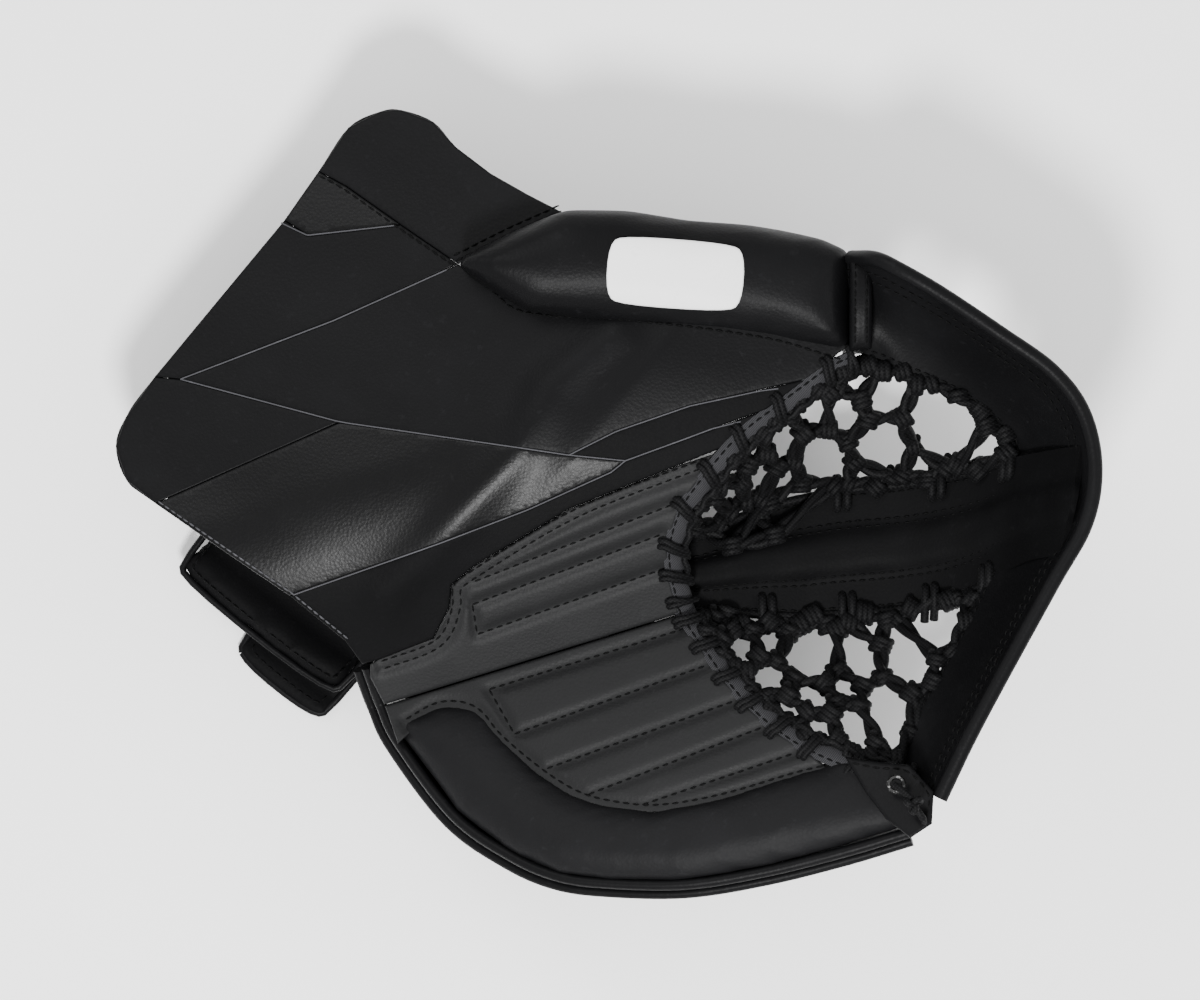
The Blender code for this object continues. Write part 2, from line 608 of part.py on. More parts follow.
def main():
    clear_scene()
    collection = bpy.data.collections.new("goalie_catch_glove")
    bpy.context.scene.collection.children.link(collection)
    looks = {
        "smooth": make_material("smooth_black_leather", (0.018, 0.018, 0.019), 0.5),
        "glossy": make_material("glossy_black_leather", (0.010, 0.010, 0.011), 0.3),
        "palm": make_material("palm_leather", (0.030, 0.030, 0.031), 0.55),
        "lace": make_material("lace_nylon", (0.016, 0.016, 0.016), 0.7),
        "tape": make_material("woven_tape", (0.020, 0.020, 0.021), 0.8),
        "foam": make_material("foam_core", (0.05, 0.05, 0.05), 0.9),
        "textile": make_material("lining_textile", (0.014, 0.014, 0.015), 0.9),
        "white": make_material("white_synthetic", (0.85, 0.85, 0.85), 0.4),
        "metal": make_material("black_eyelet", (0.03, 0.03, 0.03), 0.35),
    }
    add_bodies()
    add_cuff_covers(looks)
    add_cuff_body(looks)
    add_thumb(looks)
    add_palm(looks)
    add_laced_edges(looks)
    add_finger_side(looks)
    add_finger_stalls(looks)
    add_fingertip(looks)
    add_pocket(looks)
    add_band(looks)
    add_wrist(looks)


main()
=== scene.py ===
"""Looks of the goalie catch glove: leather, quilting, lacing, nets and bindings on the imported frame."""

import math

import bmesh
import bpy
import numpy as np
from bpy.props import FloatProperty, FloatVectorProperty, IntProperty, PointerProperty
from bpy.types import Operator, Panel, PropertyGroup
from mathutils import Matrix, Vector
from mathutils.geometry import delaunay_2d_cdt

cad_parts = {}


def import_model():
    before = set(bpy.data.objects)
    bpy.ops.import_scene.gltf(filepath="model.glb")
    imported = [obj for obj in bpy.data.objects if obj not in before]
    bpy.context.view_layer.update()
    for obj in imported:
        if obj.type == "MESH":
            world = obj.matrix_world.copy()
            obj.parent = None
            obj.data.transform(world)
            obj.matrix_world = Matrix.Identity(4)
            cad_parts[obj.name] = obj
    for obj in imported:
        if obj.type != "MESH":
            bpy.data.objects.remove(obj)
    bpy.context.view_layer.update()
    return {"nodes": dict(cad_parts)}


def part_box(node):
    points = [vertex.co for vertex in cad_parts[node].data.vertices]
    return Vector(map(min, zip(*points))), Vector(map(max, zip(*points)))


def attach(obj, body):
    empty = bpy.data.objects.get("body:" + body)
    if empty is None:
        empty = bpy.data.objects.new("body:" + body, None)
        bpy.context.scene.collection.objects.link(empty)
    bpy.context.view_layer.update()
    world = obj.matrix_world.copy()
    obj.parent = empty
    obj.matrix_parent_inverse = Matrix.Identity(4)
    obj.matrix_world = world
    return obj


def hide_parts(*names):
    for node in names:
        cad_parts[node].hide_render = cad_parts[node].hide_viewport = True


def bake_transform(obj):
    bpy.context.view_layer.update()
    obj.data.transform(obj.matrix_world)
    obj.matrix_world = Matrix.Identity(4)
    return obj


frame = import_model()

bl_info = {
    "name": "Goalie catch glove",
    "version": (1, 0, 0),
    "blender": (4, 5, 0),
    "location": "3D View > Sidebar > Glove",
    "description": "Builds the leather, lacing and padding of a goalie catch glove",
    "category": "Object",
}

MM = 0.001
CENTRE_SHIFT = (-0.5, 0.46)

# The palm's valley and the wrist's crest, in millimetres, as in the part, but with a softer crest.
BREAK_HEEL = (-88.8, -86.6)
BREAK_DIRECTION = (0.955, 0.298)
BREAK_HEIGHT = 62.0
BREAK_RISE = 0.14
THUMB_SIDE_SLOPE = 0.52
FINGER_SIDE_SLOPE = 0.42
FOREARM = (-0.784, 0.621)
CUFF_HEIGHT = 116.0
CUFF_FALL = 0.28
CUFF_FALL_START = 20.0
CREST_ROUNDING = 22.0

# Depths of the foam board's two faces below the palm side.
BOARD_TOP = 3.7
BOARD_FOOT = 19.7

# Thicknesses and depths of the layers in millimetres, and radii of the cords in metres.
PANEL_DEPTH = 2.6
PALM_DEPTH = 13.5
BOXING_DEPTH = 22.0
BOXING_THICKNESS = 1.6
WALL_THICKNESS = 2.0
BAND_THICKNESS = 4.6
STEM_THICKNESS = 3.0
FLAP_WALL_THICKNESS = 2.6
CORD_RADIUS_BOXING = 0.0012
CORD_RADIUS_WALL = 0.0017
CORD_RADIUS_WRIST = 0.0016
CORD_RADIUS_KNOT = 0.0015
BAND_RIM_RADIUS = 0.0034
CLOTH_PRESSURE = 3.0

# Seams in plan, millimetres.
CORNER_SEAM = [(-121, 143), (-109.7, 136.7), (-86, 119.8), (-61, 102.5)]
THUMB_CUFF_SEAM = [(-61, 102.5), (-38, 114), (-15, 124)]
THUMB_LOWER_SEAM = [(-61, 102.5), (-45, 91.8), (-30, 82.8), (19.4, 78.9), (70, 72), (97, 64.5), (104, 62.5)]
PALM_SEAM = [
    (53, 22.6), (48, 20.5), (34, 16), (-13, -2.8), (-54, -27.3), (-64, -35.5), (-65, -45.4), (-72, -58.7),
    (-96, -68),
]
FINGER_SEAM = [
    (100, -115.5), (85, -119), (53, -128.6), (25, -133.5), (3, -131.8), (-13, -127), (-30, -116.3),
    (-46, -103), (-56, -92.2), (-69, -90.8), (-83, -98.3),
]
RIBS_UPPER = [[(-54, -34), (36, 1)], [(-55, -44), (27, -13.5)], [(-53, -57), (29, -28)]]
RIBS_LOWER = [
    [(-48, -81), (38, -54)], [(-37, -100), (46, -70)], [(-23, -114.6), (58, -85)], [(-5, -125.3), (70, -96)],
    [(18, -129.4), (83, -107)],
]
RIB_CAPS_UPPER = [[(-55, -44), (-53, -57)]]
RIB_CAPS_LOWER = [[(-48, -81), (-37, -100)]]
LACED_EDGE_UPPER = [
    (107, 63), (96, 57.5), (75, 42), (58.5, 29), (45, 13.5), (34, -2.4), (29, -19), (30, -33), (33, -44),
]
LACED_EDGE_LOWER = [
    (33, -46), (36, -52), (43, -62), (52.5, -75.3), (62.6, -87), (75, -97.8), (88, -106), (107, -114),
    (131, -120.5),
]
FINGER_ROLL_EDGE = [
    (-100, -71), (-94, -88), (-86, -104), (-62, -134.4), (-38, -150.7), (-18, -158.9), (3, -161.5),
    (36, -161.5), (69, -156), (102, -147.5), (131, -138.5),
]
CUFF_RIM = [
    (-103, -70), (-110, -60), (-133.7, -40.2), (-192, -0.5), (-205, 9.7), (-209.8, 24.3), (-205.5, 37),
    (-193, 54.4), (-136.7, 122.3), (-122, 143.4), (-109, 162.5), (-95, 169.4), (-86, 169.9), (-72, 164.5),
    (-62, 153.3), (-47, 141.7), (-31, 132.4), (-15, 124),
]
THUMB_SIDE = [(-14, 119.5), (10, 119.3), (37, 114.9), (62, 113), (93, 108.4), (101, 104.8)]
FINGERTIP_TAB = [
    (104, -108), (118, -110), (131, -111), (141, -122), (140, -135.5), (131, -141.5), (121, -134),
    (112, -122),
]
FINGERTIP_SEAM = [(107, -110.5), (118, -112.5), (129.5, -113.5), (138.5, -123), (137.5, -134)]
BACK_CHANNELS = [
    [(-70, -60), (-15, -160)], [(-35, -48), (20, -165)], [(0, -36), (58, -162)], [(-92, -92), (125, -128)],
]
FLAP_WALL_FOOT = [(-57.5, 11.1), (-122.6, 62.7)]

# Sections of the laced edge: how far into the pocket and how high. A whip's turn also moves on along
# the edge, by its first number.
TAPE_FOLD = [
    (-1.4, 0.3), (1.6, 0.35), (4.4, -1.2), (6.9, -4.0), (7.6, -7.6), (5.6, -11.2), (1.0, -13.2),
    (-1.6, -12.4), (-1.6, -6.0), (-1.4, 0.3),
]
WHIP_ROUTE = [
    (0, -3.4, -3.0), (0, -3.2, 1.0), (0, -1.0, 1.9), (1, 2.0, 1.8), (2, 5.4, 0.2), (3, 8.4, -3.6),
    (4, 8.9, -8.0), (4, 6.0, -13.0), (5, 0.0, -15.0),
]

# A lace that turns over the stem's edge: how far in from the edge and how high.
LOOP_ROUTE = [(7.0, -3.0), (7.6, 1.6), (4.0, 4.0), (0.0, 3.4), (-4.0, 1.5), (-7.0, 0.5)]

# The soft fold that the wrist's leather takes when the hand closes, millimetres.
WRIST_FOLD = [(6, 72), (-22, 50), (-36, 22), (-69, -17), (-92, -40)]
WRIST_FOLD_HEIGHT = 3.0
WRIST_FOLD_WIDTH = 9.5

# Joins between the panels, where fine pale lines are painted: a painted highlight for the light that the
# panels' turned edges catch.
HIGHLIGHTED_JOINS = [
    [(-181.5, 53.3), (-115, 78.3), (-66, 100)],
    [(-181.5, 53.3), (-111.8, 34.6), (-34.8, 23.4), (-13.3, 20.2), (10.8, 17.8)],
    [(-13.3, 20.2), (6.9, 30.3), (38.3, 41.1), (68, 47.5), (76, 48.5)],
    [(10.8, 17.8), (36, 27), (48, 31.5), (60, 34.5)],
    [(10.8, 17.8), (5, 13), (-31, -3.2), (-68.8, -17.6), (-132, -39.8)],
    [(-138, 121), (-126.6, 115.5), (-88, 119.5)],
]

# The bar of the T, with heights: the edge next to the nets, and the rim.
BAND_INNER = [
    (108, 65, 109), (117, 62, 108), (129, 58, 103), (157, 46.5, 96), (178, 28.5, 89), (181, 14, 86),
    (177, -10, 85), (170, -30, 88), (151, -67, 94), (131, -100, 104), (124, -112, 112),
]
BAND_RIM = [
    (107, 104, 118), (117, 103, 133), (128, 97.5, 139), (145, 87.5, 140), (169.5, 71, 141),
    (191, 55.5, 141), (204, 38, 141), (209, 15, 141), (205, -9, 141), (190, -36, 141), (159.5, -92, 141),
    (143.5, -125, 140),
]

# The stem of the T, with heights: its two edges.
STEM_TOP = [
    (27, -17, 66), (43, -15, 67), (69, -3.2, 63.5), (104, 4.9, 62), (133, 8, 66), (160, 13, 77),
    (178, 19, 93), (193, 22, 116), (205, 24, 137),
]
STEM_BOTTOM = [
    (28, -43, 66), (43, -46.5, 67), (84, -49.5, 62), (97, -48.8, 62), (128, -46.6, 65.5), (152, -42, 75),
    (170, -33, 91), (184, -25, 114), (196, -23, 137),
]

# The open holes of the two nets: place in plan and rough radius.
UPPER_HOLES = [
    (108.7, 53.4, 3.2), (125.5, 47.7, 4.6), (90.5, 40.1, 3.2), (105, 34.4, 2.4), (145.7, 34.4, 7.0),
    (79.2, 29.6, 1.9), (121.1, 25.6, 5.2), (165.9, 19.5, 7.2), (96.2, 17.4, 4.2), (141.9, 13.5, 7.0),
    (70, 10.4, 1.6), (116, 9.5, 5.6), (80, 6.4, 2.0), (89, 4.5, 2.4), (66, 24, 1.0), (57, 14, 0.8),
    (57, 2, 0.8), (46, -6, 0.6),
]
LOWER_HOLES = [
    (90.8, -52, 3.6), (120.2, -51.5, 6.2), (145.7, -49.5, 6.0), (74, -61.7, 1.4), (91.8, -65, 3.6),
    (112.6, -66.5, 5.0), (132.8, -65.9, 5.6), (93.6, -83.5, 1.6), (104.4, -81.3, 2.6),
    (121.5, -85.1, 2.2), (80.9, -88.9, 1.0), (107.6, -93.4, 2.0), (94.8, -96.8, 2.0), (62, -62, 1.0),
    (70, -76, 1.0), (50, -53, 0.6), (59, -52, 0.8),
]

# The lamps: name, place and size in metres, and power in watts.
LAMPS = (
    ("crest", (-0.10, -0.74, 1.50), 0.32, 46.0),
    ("key", (-0.9, 1.2, 1.6), 0.9, 16.0),
    ("side", (1.5, 0.3, 1.2), 0.8, 8.0),
)
STUDIO_STRENGTH = 1.35


# ---------------------------------------------------------------- sizes and colours

def length(name, description, default):
    return FloatProperty(name=name, description=description, default=default, unit="LENGTH")


def colour(name, description, default):
    return FloatVectorProperty(name=name, description=description, default=default, subtype="COLOR")


class GloveSizes(PropertyGroup):
    """Sizes of the glove's fine work."""

    lace_radius: length("Lace radius", "Half the width of a net lace", 0.0019)
    whip_radius: length("Whip lace radius", "Half the width of the lace whipped round the edge", 0.0014)
    stitch_radius: length("Thread radius", "Half the thickness of the sewing thread", 0.00042)
    stitch_pitch: length("Stitch pitch", "Distance from one stitch to the next", 0.0042)
    rib_height: length("Rib height", "How far the palm's quilting stands up between seams", 0.0019)
    panel_edge: length("Panel edge", "Radius of a leather panel's turned edge", 0.0008)
    # The pale lines along the panel joins are a painted highlight for the light their turned edges catch.
    edge_highlight_width: length("Cut edge", "Half the width of a panel's pale cut edge", 0.00034)
    inflate_frames: IntProperty(name="Inflation frames", description="Frames of cloth simulation for a pad",
                                default=20)


class GloveColours(PropertyGroup):
    """Colours of the glove's materials."""

    smooth: colour("Smooth leather", "Leather of the cuff and the thumb", (0.0034, 0.0034, 0.0037))
    glossy: colour("Glossy leather", "Dark leather of the wrist's crest", (0.0024, 0.0024, 0.0026))
    palm: colour("Palm leather", "Lighter leather of the quilted palm", (0.0086, 0.0087, 0.0090))
    lace: colour("Lace", "Waxed nylon of the laces", (0.0024, 0.0024, 0.0026))
    textile: colour("Lining", "Knitted lining", (0.0055, 0.0055, 0.006))
    patch: colour("Patch", "Plain pale patch on the thumb", (0.82, 0.82, 0.82))


def sizes():
    return bpy.context.scene.glove_sizes


def colours():
    return bpy.context.scene.glove_colours


# ---------------------------------------------------------------- shader expressions

class Level:
    """A number that varies over a surface: a socket with arithmetic."""

    def __init__(self, look, socket):
        self.look = look
        self.socket = socket

    def worked(self, operation, *values):
        return self.look.node("ShaderNodeMath", {"operation": operation}, dict(enumerate(values)))

    def __add__(self, other):
        return self.worked("ADD", self, other)

    def __mul__(self, other):
        return self.worked("MULTIPLY", self, other)

    __radd__ = __add__
    __rmul__ = __mul__


class Look:
    """A material with one Principled shader, and the nodes that feed it."""

    def __init__(self, name, colour, roughness, **constants):
        self.material = bpy.data.materials.new(name)
        self.material.use_nodes = True
        self.tree = self.material.node_tree
        self.shader = self.tree.nodes["Principled BSDF"]
        self.shader.inputs["Base Color"].default_value = (*colour, 1.0)
        self.shader.inputs["Roughness"].default_value = roughness
        for socket, value in constants.items():
            self.shader.inputs[socket.replace("_", " ")].default_value = value
        self.place = self.node("ShaderNodeTexCoord", {}, {}, "Object").socket

    def node(self, kind, settings, inputs, output=0):
        """A node of this type, its settings made first, with values or links on its inputs."""
        made = self.tree.nodes.new(kind)
        for setting, value in settings.items():
            setattr(made, setting, value)
        for socket, value in inputs.items():
            if isinstance(value, Level):
                value = value.socket
            if isinstance(value, bpy.types.NodeSocket):
                self.tree.links.new(value, made.inputs[socket])
            else:
                made.inputs[socket].default_value = value
        return Level(self, made.outputs[output])

    def noise(self, scale, detail=3.0):
        settings = {"Vector": self.place, "Scale": scale, "Detail": detail, "Roughness": 0.55}
        return self.node("ShaderNodeTexNoise", {}, settings)

    def cells(self, scale):
        return self.node("ShaderNodeTexVoronoi", {"feature": "F1"}, {"Vector": self.place, "Scale": scale})

    def waves(self, scale, direction, turn):
        """Parallel ridges, turned by these angles."""
        turned = self.node("ShaderNodeMapping", {}, {"Vector": self.place, "Rotation": turn})
        return self.node("ShaderNodeTexWave", {"bands_direction": direction},
                         {"Vector": turned, "Scale": scale}, 1)

    def steps(self, value, low, high):
        """The value stretched so that low becomes 0 and high becomes 1."""
        return self.node("ShaderNodeMapRange", {"interpolation_type": "SMOOTHSTEP"},
                         {"Value": value, "From Min": low, "From Max": high})

    def colour(self, mask, first, second):
        mixed = self.node("ShaderNodeMix", {"data_type": "RGBA"},
                          {0: mask, 6: (*first, 1.0), 7: (*second, 1.0)}, 2)
        self.tree.links.new(mixed.socket, self.shader.inputs["Base Color"])

    def roughness(self, value):
        self.tree.links.new(value.socket, self.shader.inputs["Roughness"])

    def bump(self, height, strength, distance):
        relief = {"Strength": strength, "Distance": distance, "Height": height}
        bumped = self.node("ShaderNodeBump", {}, relief)
        self.tree.links.new(bumped.socket, self.shader.inputs["Normal"])


def brighter(colour, factor):
    return tuple(min(1.0, channel * factor) for channel in colour)


def leather(name, colour, roughness, grain=0.00016, sheen=0.0, coat=0.0, scuff=1.6, specular=0.055):
    """Full-grain leather: pebbled cells over fine pores, broad handling marks and a few scuffs."""
    look = Look(name, colour, roughness, Coat_Weight=coat, Coat_Roughness=0.30, Sheen_Weight=sheen,
                Specular_IOR_Level=specular)
    pebbles = look.cells(750.0)
    pores = look.noise(2600.0, 2.0)
    handling = look.noise(26.0, 4.0)
    marks = look.steps(look.noise(240.0, 5.0), 0.60, 0.74)
    look.colour(look.steps(handling * 0.8 + marks * 0.35, 0.30, 0.80), colour, brighter(colour, scuff))
    look.roughness(handling * 0.16 + marks * 0.08 + pebbles * 0.06 + (roughness - 0.12))
    look.bump(pebbles * 0.7 + pores * 0.35 + handling * 0.5, 0.55, grain)
    return look.material


def braid(name, colour, roughness):
    """Waxed braid: two crossed sets of ridges with a little fuzz."""
    look = Look(name, colour, roughness, Specular_IOR_Level=0.06, Sheen_Weight=0.008, Sheen_Roughness=0.5)
    left = look.waves(260.0, "X", (0.3, 0.0, 0.8))
    right = look.waves(260.0, "Y", (0.0, 0.4, 0.6))
    fuzz = look.noise(1800.0, 2.0)
    look.colour(look.steps(left * right + fuzz * 0.3, 0.15, 0.75), colour, brighter(colour, 2.4))
    look.roughness(fuzz * 0.2 + (roughness - 0.1))
    look.bump(left * 0.6 + right * 0.6 + fuzz * 0.2, 0.5, 0.0002)
    return look.material


def twill(name, colour, roughness, scale=420.0):
    """Woven tape or cloth: fine diagonal ribs crossed by the weft."""
    look = Look(name, colour, roughness, Specular_IOR_Level=0.1, Sheen_Weight=0.02, Sheen_Roughness=0.5)
    ribs = look.waves(scale, "X", (0.0, 0.0, 0.7))
    weft = look.waves(scale * 1.7, "Y", (0.0, 0.0, 0.7))
    dust = look.noise(60.0, 4.0)
    look.colour(look.steps(ribs * 0.7 + dust * 0.6, 0.3, 1.0), colour, brighter(colour, 2.2))
    look.roughness(dust * 0.15 + (roughness - 0.08))
    look.bump(ribs * 0.8 + weft * 0.4, 0.7, 0.00025)
    return look.material


def foam(name, colour):
    look = Look(name, colour, 0.9, Specular_IOR_Level=0.1)
    open_cells = look.cells(900.0)
    look.colour(open_cells, colour, brighter(colour, 1.5))
    look.bump(open_cells, 0.5, 0.0003)
    return look.material


def enamel(name, colour):
    """Painted metal, worn a little where it rubs."""
    look = Look(name, colour, 0.35, Metallic=0.8)
    wear = look.steps(look.noise(700.0, 4.0), 0.52, 0.66)
    look.colour(wear, colour, brighter(colour, 6.0))
    look.roughness(wear * 0.2 + 0.3)
    look.bump(look.noise(1500.0), 0.3, 0.0001)
    return look.material


def make_looks():
    tints = colours()
    smooth, glossy, palm = tuple(tints.smooth), tuple(tints.glossy), tuple(tints.palm)
    return {
        "smooth": leather("smooth_black_leather", smooth, 0.44),
        # The finger roll's smooth leather made 1.5 times lighter: painted light, for the light that the roll
        # catches.
        "roll": leather("finger_roll_painted_light_leather", brighter(smooth, 1.5), 0.55, specular=0.075),
        "glossy": leather("glossy_black_leather", glossy, 0.36, coat=0.025, scuff=1.4, specular=0.08),
        "matte": leather("matte_black_leather", glossy, 0.62, specular=0.04),
        "palm": leather("palm_leather", palm, 0.55, 0.00022, scuff=1.4, specular=0.105),
        "thread": braid("sewing_thread", brighter(glossy, 0.4), 0.6),
        # Pale leather: a painted highlight for the lines along the panel joins, and the pale thread of the
        # cuff's lower stitching.
        "edge": leather("pale_thread_and_edge_highlight", brighter(smooth, 13.0), 0.5),
        "lace": braid("waxed_lace", tuple(tints.lace), 0.55),
        "tape": twill("woven_tape", brighter(tuple(tints.textile), 2.4), 0.7),
        "textile": twill("knitted_lining", tuple(tints.textile), 0.85, 700.0),
        "hook": twill("hook_and_loop_tape", brighter(tuple(tints.textile), 0.8), 0.9, 900.0),
        # The foam is near black as a painted shade, so that it reads as shade where it shows in the gaps
        # between the panels.
        "foam": foam("foam_core", (0.006, 0.006, 0.006)),
        "patch": leather("plain_pale_patch", tuple(tints.patch), 0.42, 0.00008, scuff=0.93),
        "metal": enamel("black_eyelet", (0.02, 0.02, 0.02)),
    }


LOOKS = {}


# ---------------------------------------------------------------- shape helpers

def world(points):
    """Millimetres in the glove's plan to metres in the frame."""
    points = np.atleast_2d(np.asarray(points, float)).copy()
    points[:, 0] += CENTRE_SHIFT[0]
    points[:, 1] += CENTRE_SHIFT[1]
    return points * MM


def plan(points):
    """Metres in the frame to millimetres in the glove's plan."""
    points = np.asarray(points, float) / MM
    points[..., 0] -= CENTRE_SHIFT[0]
    points[..., 1] -= CENTRE_SHIFT[1]
    return points


def along_break(x, y):
    return (x - BREAK_HEEL[0]) * BREAK_DIRECTION[0] + (y - BREAK_HEEL[1]) * BREAK_DIRECTION[1]


def across_break(x, y):
    return (y - BREAK_HEEL[1]) * BREAK_DIRECTION[0] - (x - BREAK_HEEL[0]) * BREAK_DIRECTION[1]


def across_forearm(points):
    """How far plan points lie to one side of the forearm's line. The wrist flap's side is negative."""
    return points[:, 0] * FOREARM[1] - points[:, 1] * FOREARM[0]


def waviness(x, y):
    """The soft unevenness of leather over foam, in millimetres."""
    broad = np.sin(x / 21.0 + 0.7) * np.sin(y / 27.0 + 0.4)
    skewed = np.sin((x + 0.7 * y) / 13.0 + 1.1) * np.sin((y - 0.5 * x) / 17.0)
    fold = distance_to(np.column_stack([np.ravel(x), np.ravel(y)]), [WRIST_FOLD]).reshape(np.shape(x))
    return 0.55 * broad + 0.28 * skewed + WRIST_FOLD_HEIGHT * np.exp(-(fold / WRIST_FOLD_WIDTH) ** 2)


def bare_skin(x, y):
    """Height of the palm side without its unevenness, in millimetres, for arrays of plan points."""
    across = across_break(x, y)
    slope = np.where(across > 0, THUMB_SIDE_SLOPE, FINGER_SIDE_SLOPE)
    palm = BREAK_HEIGHT + BREAK_RISE * along_break(x, y) + slope * np.abs(across)
    forearm = x * FOREARM[0] + y * FOREARM[1]
    cuff = CUFF_HEIGHT - CUFF_FALL * np.maximum(0.0, forearm - CUFF_FALL_START)
    near = np.maximum(CREST_ROUNDING - np.abs(palm - cuff), 0.0) / CREST_ROUNDING
    crest = np.minimum(palm, cuff) - near * near * CREST_ROUNDING / 4
    return np.where(across > 0, crest, palm)


def skin(x, y):
    """Height of the palm-side leather, with the unevenness of the real one."""
    return bare_skin(x, y) + waviness(x, y)


def distance_to(points, lines):
    """Plan distance of each point to the nearest of these lines."""
    best = np.full(len(points), 1e6)
    for line in lines:
        for a, b in zip(line, line[1:]):
            a, b = np.asarray(a[:2], float), np.asarray(b[:2], float)
            run = b - a
            share = np.clip(((points - a) @ run) / max(run @ run, 1e-9), 0.0, 1.0)
            best = np.minimum(best, np.linalg.norm(points - a - share[:, None] * run, axis=1))
    return best


def smooth_line(points, steps):
    """A Catmull-Rom curve through the points, this many steps to each stretch."""
    points = np.asarray(points, float)
    ends = np.vstack([2 * points[0] - points[1], points, 2 * points[-1] - points[-2]])
    t = np.linspace(0.0, 1.0, steps, endpoint=False)[:, None]
    runs = []
    for a, b, c, d in zip(ends, ends[1:], ends[2:], ends[3:]):
        runs.append(0.5 * (2 * b + (c - a) * t + (2 * a - 5 * b + 4 * c - d) * t ** 2
                           + (3 * b - a - 3 * c + d) * t ** 3))
    return np.vstack(runs + [points[-1:]])


def evenly(path, count):
    """This many points spaced evenly along a path."""
    path = np.asarray(path, float)
    lengths = np.concatenate([[0.0], np.cumsum(np.linalg.norm(np.diff(path, axis=0), axis=1))])
    at = np.linspace(0.0, lengths[-1], count)
    return np.stack([np.interp(at, lengths, path[:, k]) for k in range(path.shape[1])], axis=1)


def length_of(path):
    return float(np.linalg.norm(np.diff(np.asarray(path, float), axis=0), axis=1).sum())


def sideways(path, distance):
    """A plan path moved to its right."""
    path = np.asarray(path, float)
    run = np.gradient(path[:, :2], axis=0)
    run /= np.linalg.norm(run, axis=1)[:, None]
    moved = path.copy()
    moved[:, 0] += run[:, 1] * distance
    moved[:, 1] -= run[:, 0] * distance
    return moved


def on_surface(path, height):
    """Plan points with the surface's height as a third column."""
    path = np.asarray(path, float)[:, :2]
    return np.column_stack([path, height(path)])


def at_level(path, level):
    """Plan points all at one height."""
    path = np.asarray(path, float)[:, :2]
    return np.column_stack([path, np.full(len(path), float(level))])


def closed_ring(outline):
    """An outline with its first point once more at its end."""
    return np.vstack([outline, outline[:1]])


def top_outline(node):
    """The plan outline of a flat-sided CAD pad, in order, in millimetres."""
    bm = bmesh.new()
    bm.from_mesh(frame["nodes"][node].data)
    bmesh.ops.remove_doubles(bm, verts=bm.verts[:], dist=0.00002)
    bmesh.ops.recalc_face_normals(bm, faces=bm.faces[:])
    rim = [edge for edge in bm.edges if len(edge.link_faces) == 2
           and sorted(abs(face.normal.z) < 0.02 for face in edge.link_faces) == [False, True]
           and max(face.normal.z for face in edge.link_faces) > 0.3]
    neighbours = {}
    for edge in rim:
        a, b = edge.verts
        neighbours.setdefault(a, []).append(b)
        neighbours.setdefault(b, []).append(a)
    start = rim[0].verts[0]
    ordered, before, here = [start], None, start
    while True:
        onward = [vert for vert in neighbours[here] if vert is not before]
        before, here = here, onward[0]
        if here is start:
            break
        ordered.append(here)
    outline = plan(np.array([vert.co for vert in ordered]))[:, :2]
    bm.free()
    turn = np.abs(np.cross(outline - np.roll(outline, 1, axis=0), np.roll(outline, -1, axis=0) - outline))
    return outline[turn > 0.02]


def grown(outline, distance):
    """A closed plan outline moved outwards."""
    outline = np.asarray(outline, float)
    after = np.roll(outline, -1, axis=0)
    area = np.sum(outline[:, 0] * after[:, 1] - after[:, 0] * outline[:, 1])
    first = outline - np.roll(outline, 1, axis=0)
    second = after - outline
    first /= np.linalg.norm(first, axis=1)[:, None]
    second /= np.linalg.norm(second, axis=1)[:, None]
    normal = np.column_stack([(first + second)[:, 1], -(first + second)[:, 0]]) * (1 if area > 0 else -1)
    square = np.maximum((normal ** 2).sum(axis=1), 0.6)
    return outline + normal * (2 * distance / square)[:, None]


def rounded(outline, times=2, first=0.25):
    """A closed plan outline with its corners cut and cut again."""
    outline = np.asarray(outline, float)
    for cut in [first] + [0.25] * (times - 1):
        after = np.roll(outline, -1, axis=0)
        corners = [outline * (1 - cut) + after * cut, outline * cut + after * (1 - cut)]
        outline = np.stack(corners, axis=1).reshape(-1, 2)
    return outline


def meeting(edge, start, toward):
    """The number of the edge's point that a line from start through toward meets."""
    run = (toward - start) / np.linalg.norm(toward - start)
    aside = edge - toward
    off = np.abs(aside[:, 0] * run[1] - aside[:, 1] * run[0]) + np.where(aside @ run < -4.0, 1e3, 0.0)
    return int(off.argmin())


def carried_to(outline, edge, within):
    """A closed outline whose sides next to an edge are carried straight on to it."""
    gaps = np.linalg.norm(outline[:, None] - edge[None], axis=2)
    near = gaps.min(axis=1) < within
    if near.sum() < 2 or near.all():
        return outline
    start = next(i for i in range(len(outline)) if near[i] and not near[i - 1])
    outline, near = np.roll(outline, -start, axis=0), np.roll(near, -start)
    last = int(np.argmin(near)) - 1
    first_on = meeting(edge, outline[-1], outline[0])
    last_on = meeting(edge, outline[last + 1], outline[last])
    step = 1 if last_on > first_on else -1
    reached = edge[first_on:last_on + step if last_on + step >= 0 else None:step]
    return np.vstack([reached, outline[last + 1:]])


def from_break(along, across):
    """The plan point this far along the palm's valley and this far from it towards the thumb."""
    return (BREAK_HEEL[0] + along * BREAK_DIRECTION[0] - across * BREAK_DIRECTION[1],
            BREAK_HEEL[1] + along * BREAK_DIRECTION[1] + across * BREAK_DIRECTION[0])


def show(name, mesh, look, body, sharp=0.9):
    """Puts a finished mesh in the scene and makes it move with its body."""
    mesh.name = name
    mesh.materials.clear()
    mesh.materials.append(LOOKS[look])
    mesh.shade_smooth()
    mesh.set_sharp_from_angle(angle=sharp)
    piece = bpy.data.objects.new(name, mesh)
    bpy.context.scene.collection.objects.link(piece)
    if body:
        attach(piece, body)
    return piece


def finished(bm, name, look, body, sharp=0.9):
    bmesh.ops.recalc_face_normals(bm, faces=bm.faces[:])
    mesh = bpy.data.meshes.new(name)
    bm.to_mesh(mesh)
    bm.free()
    return show(name, mesh, look, body, sharp)


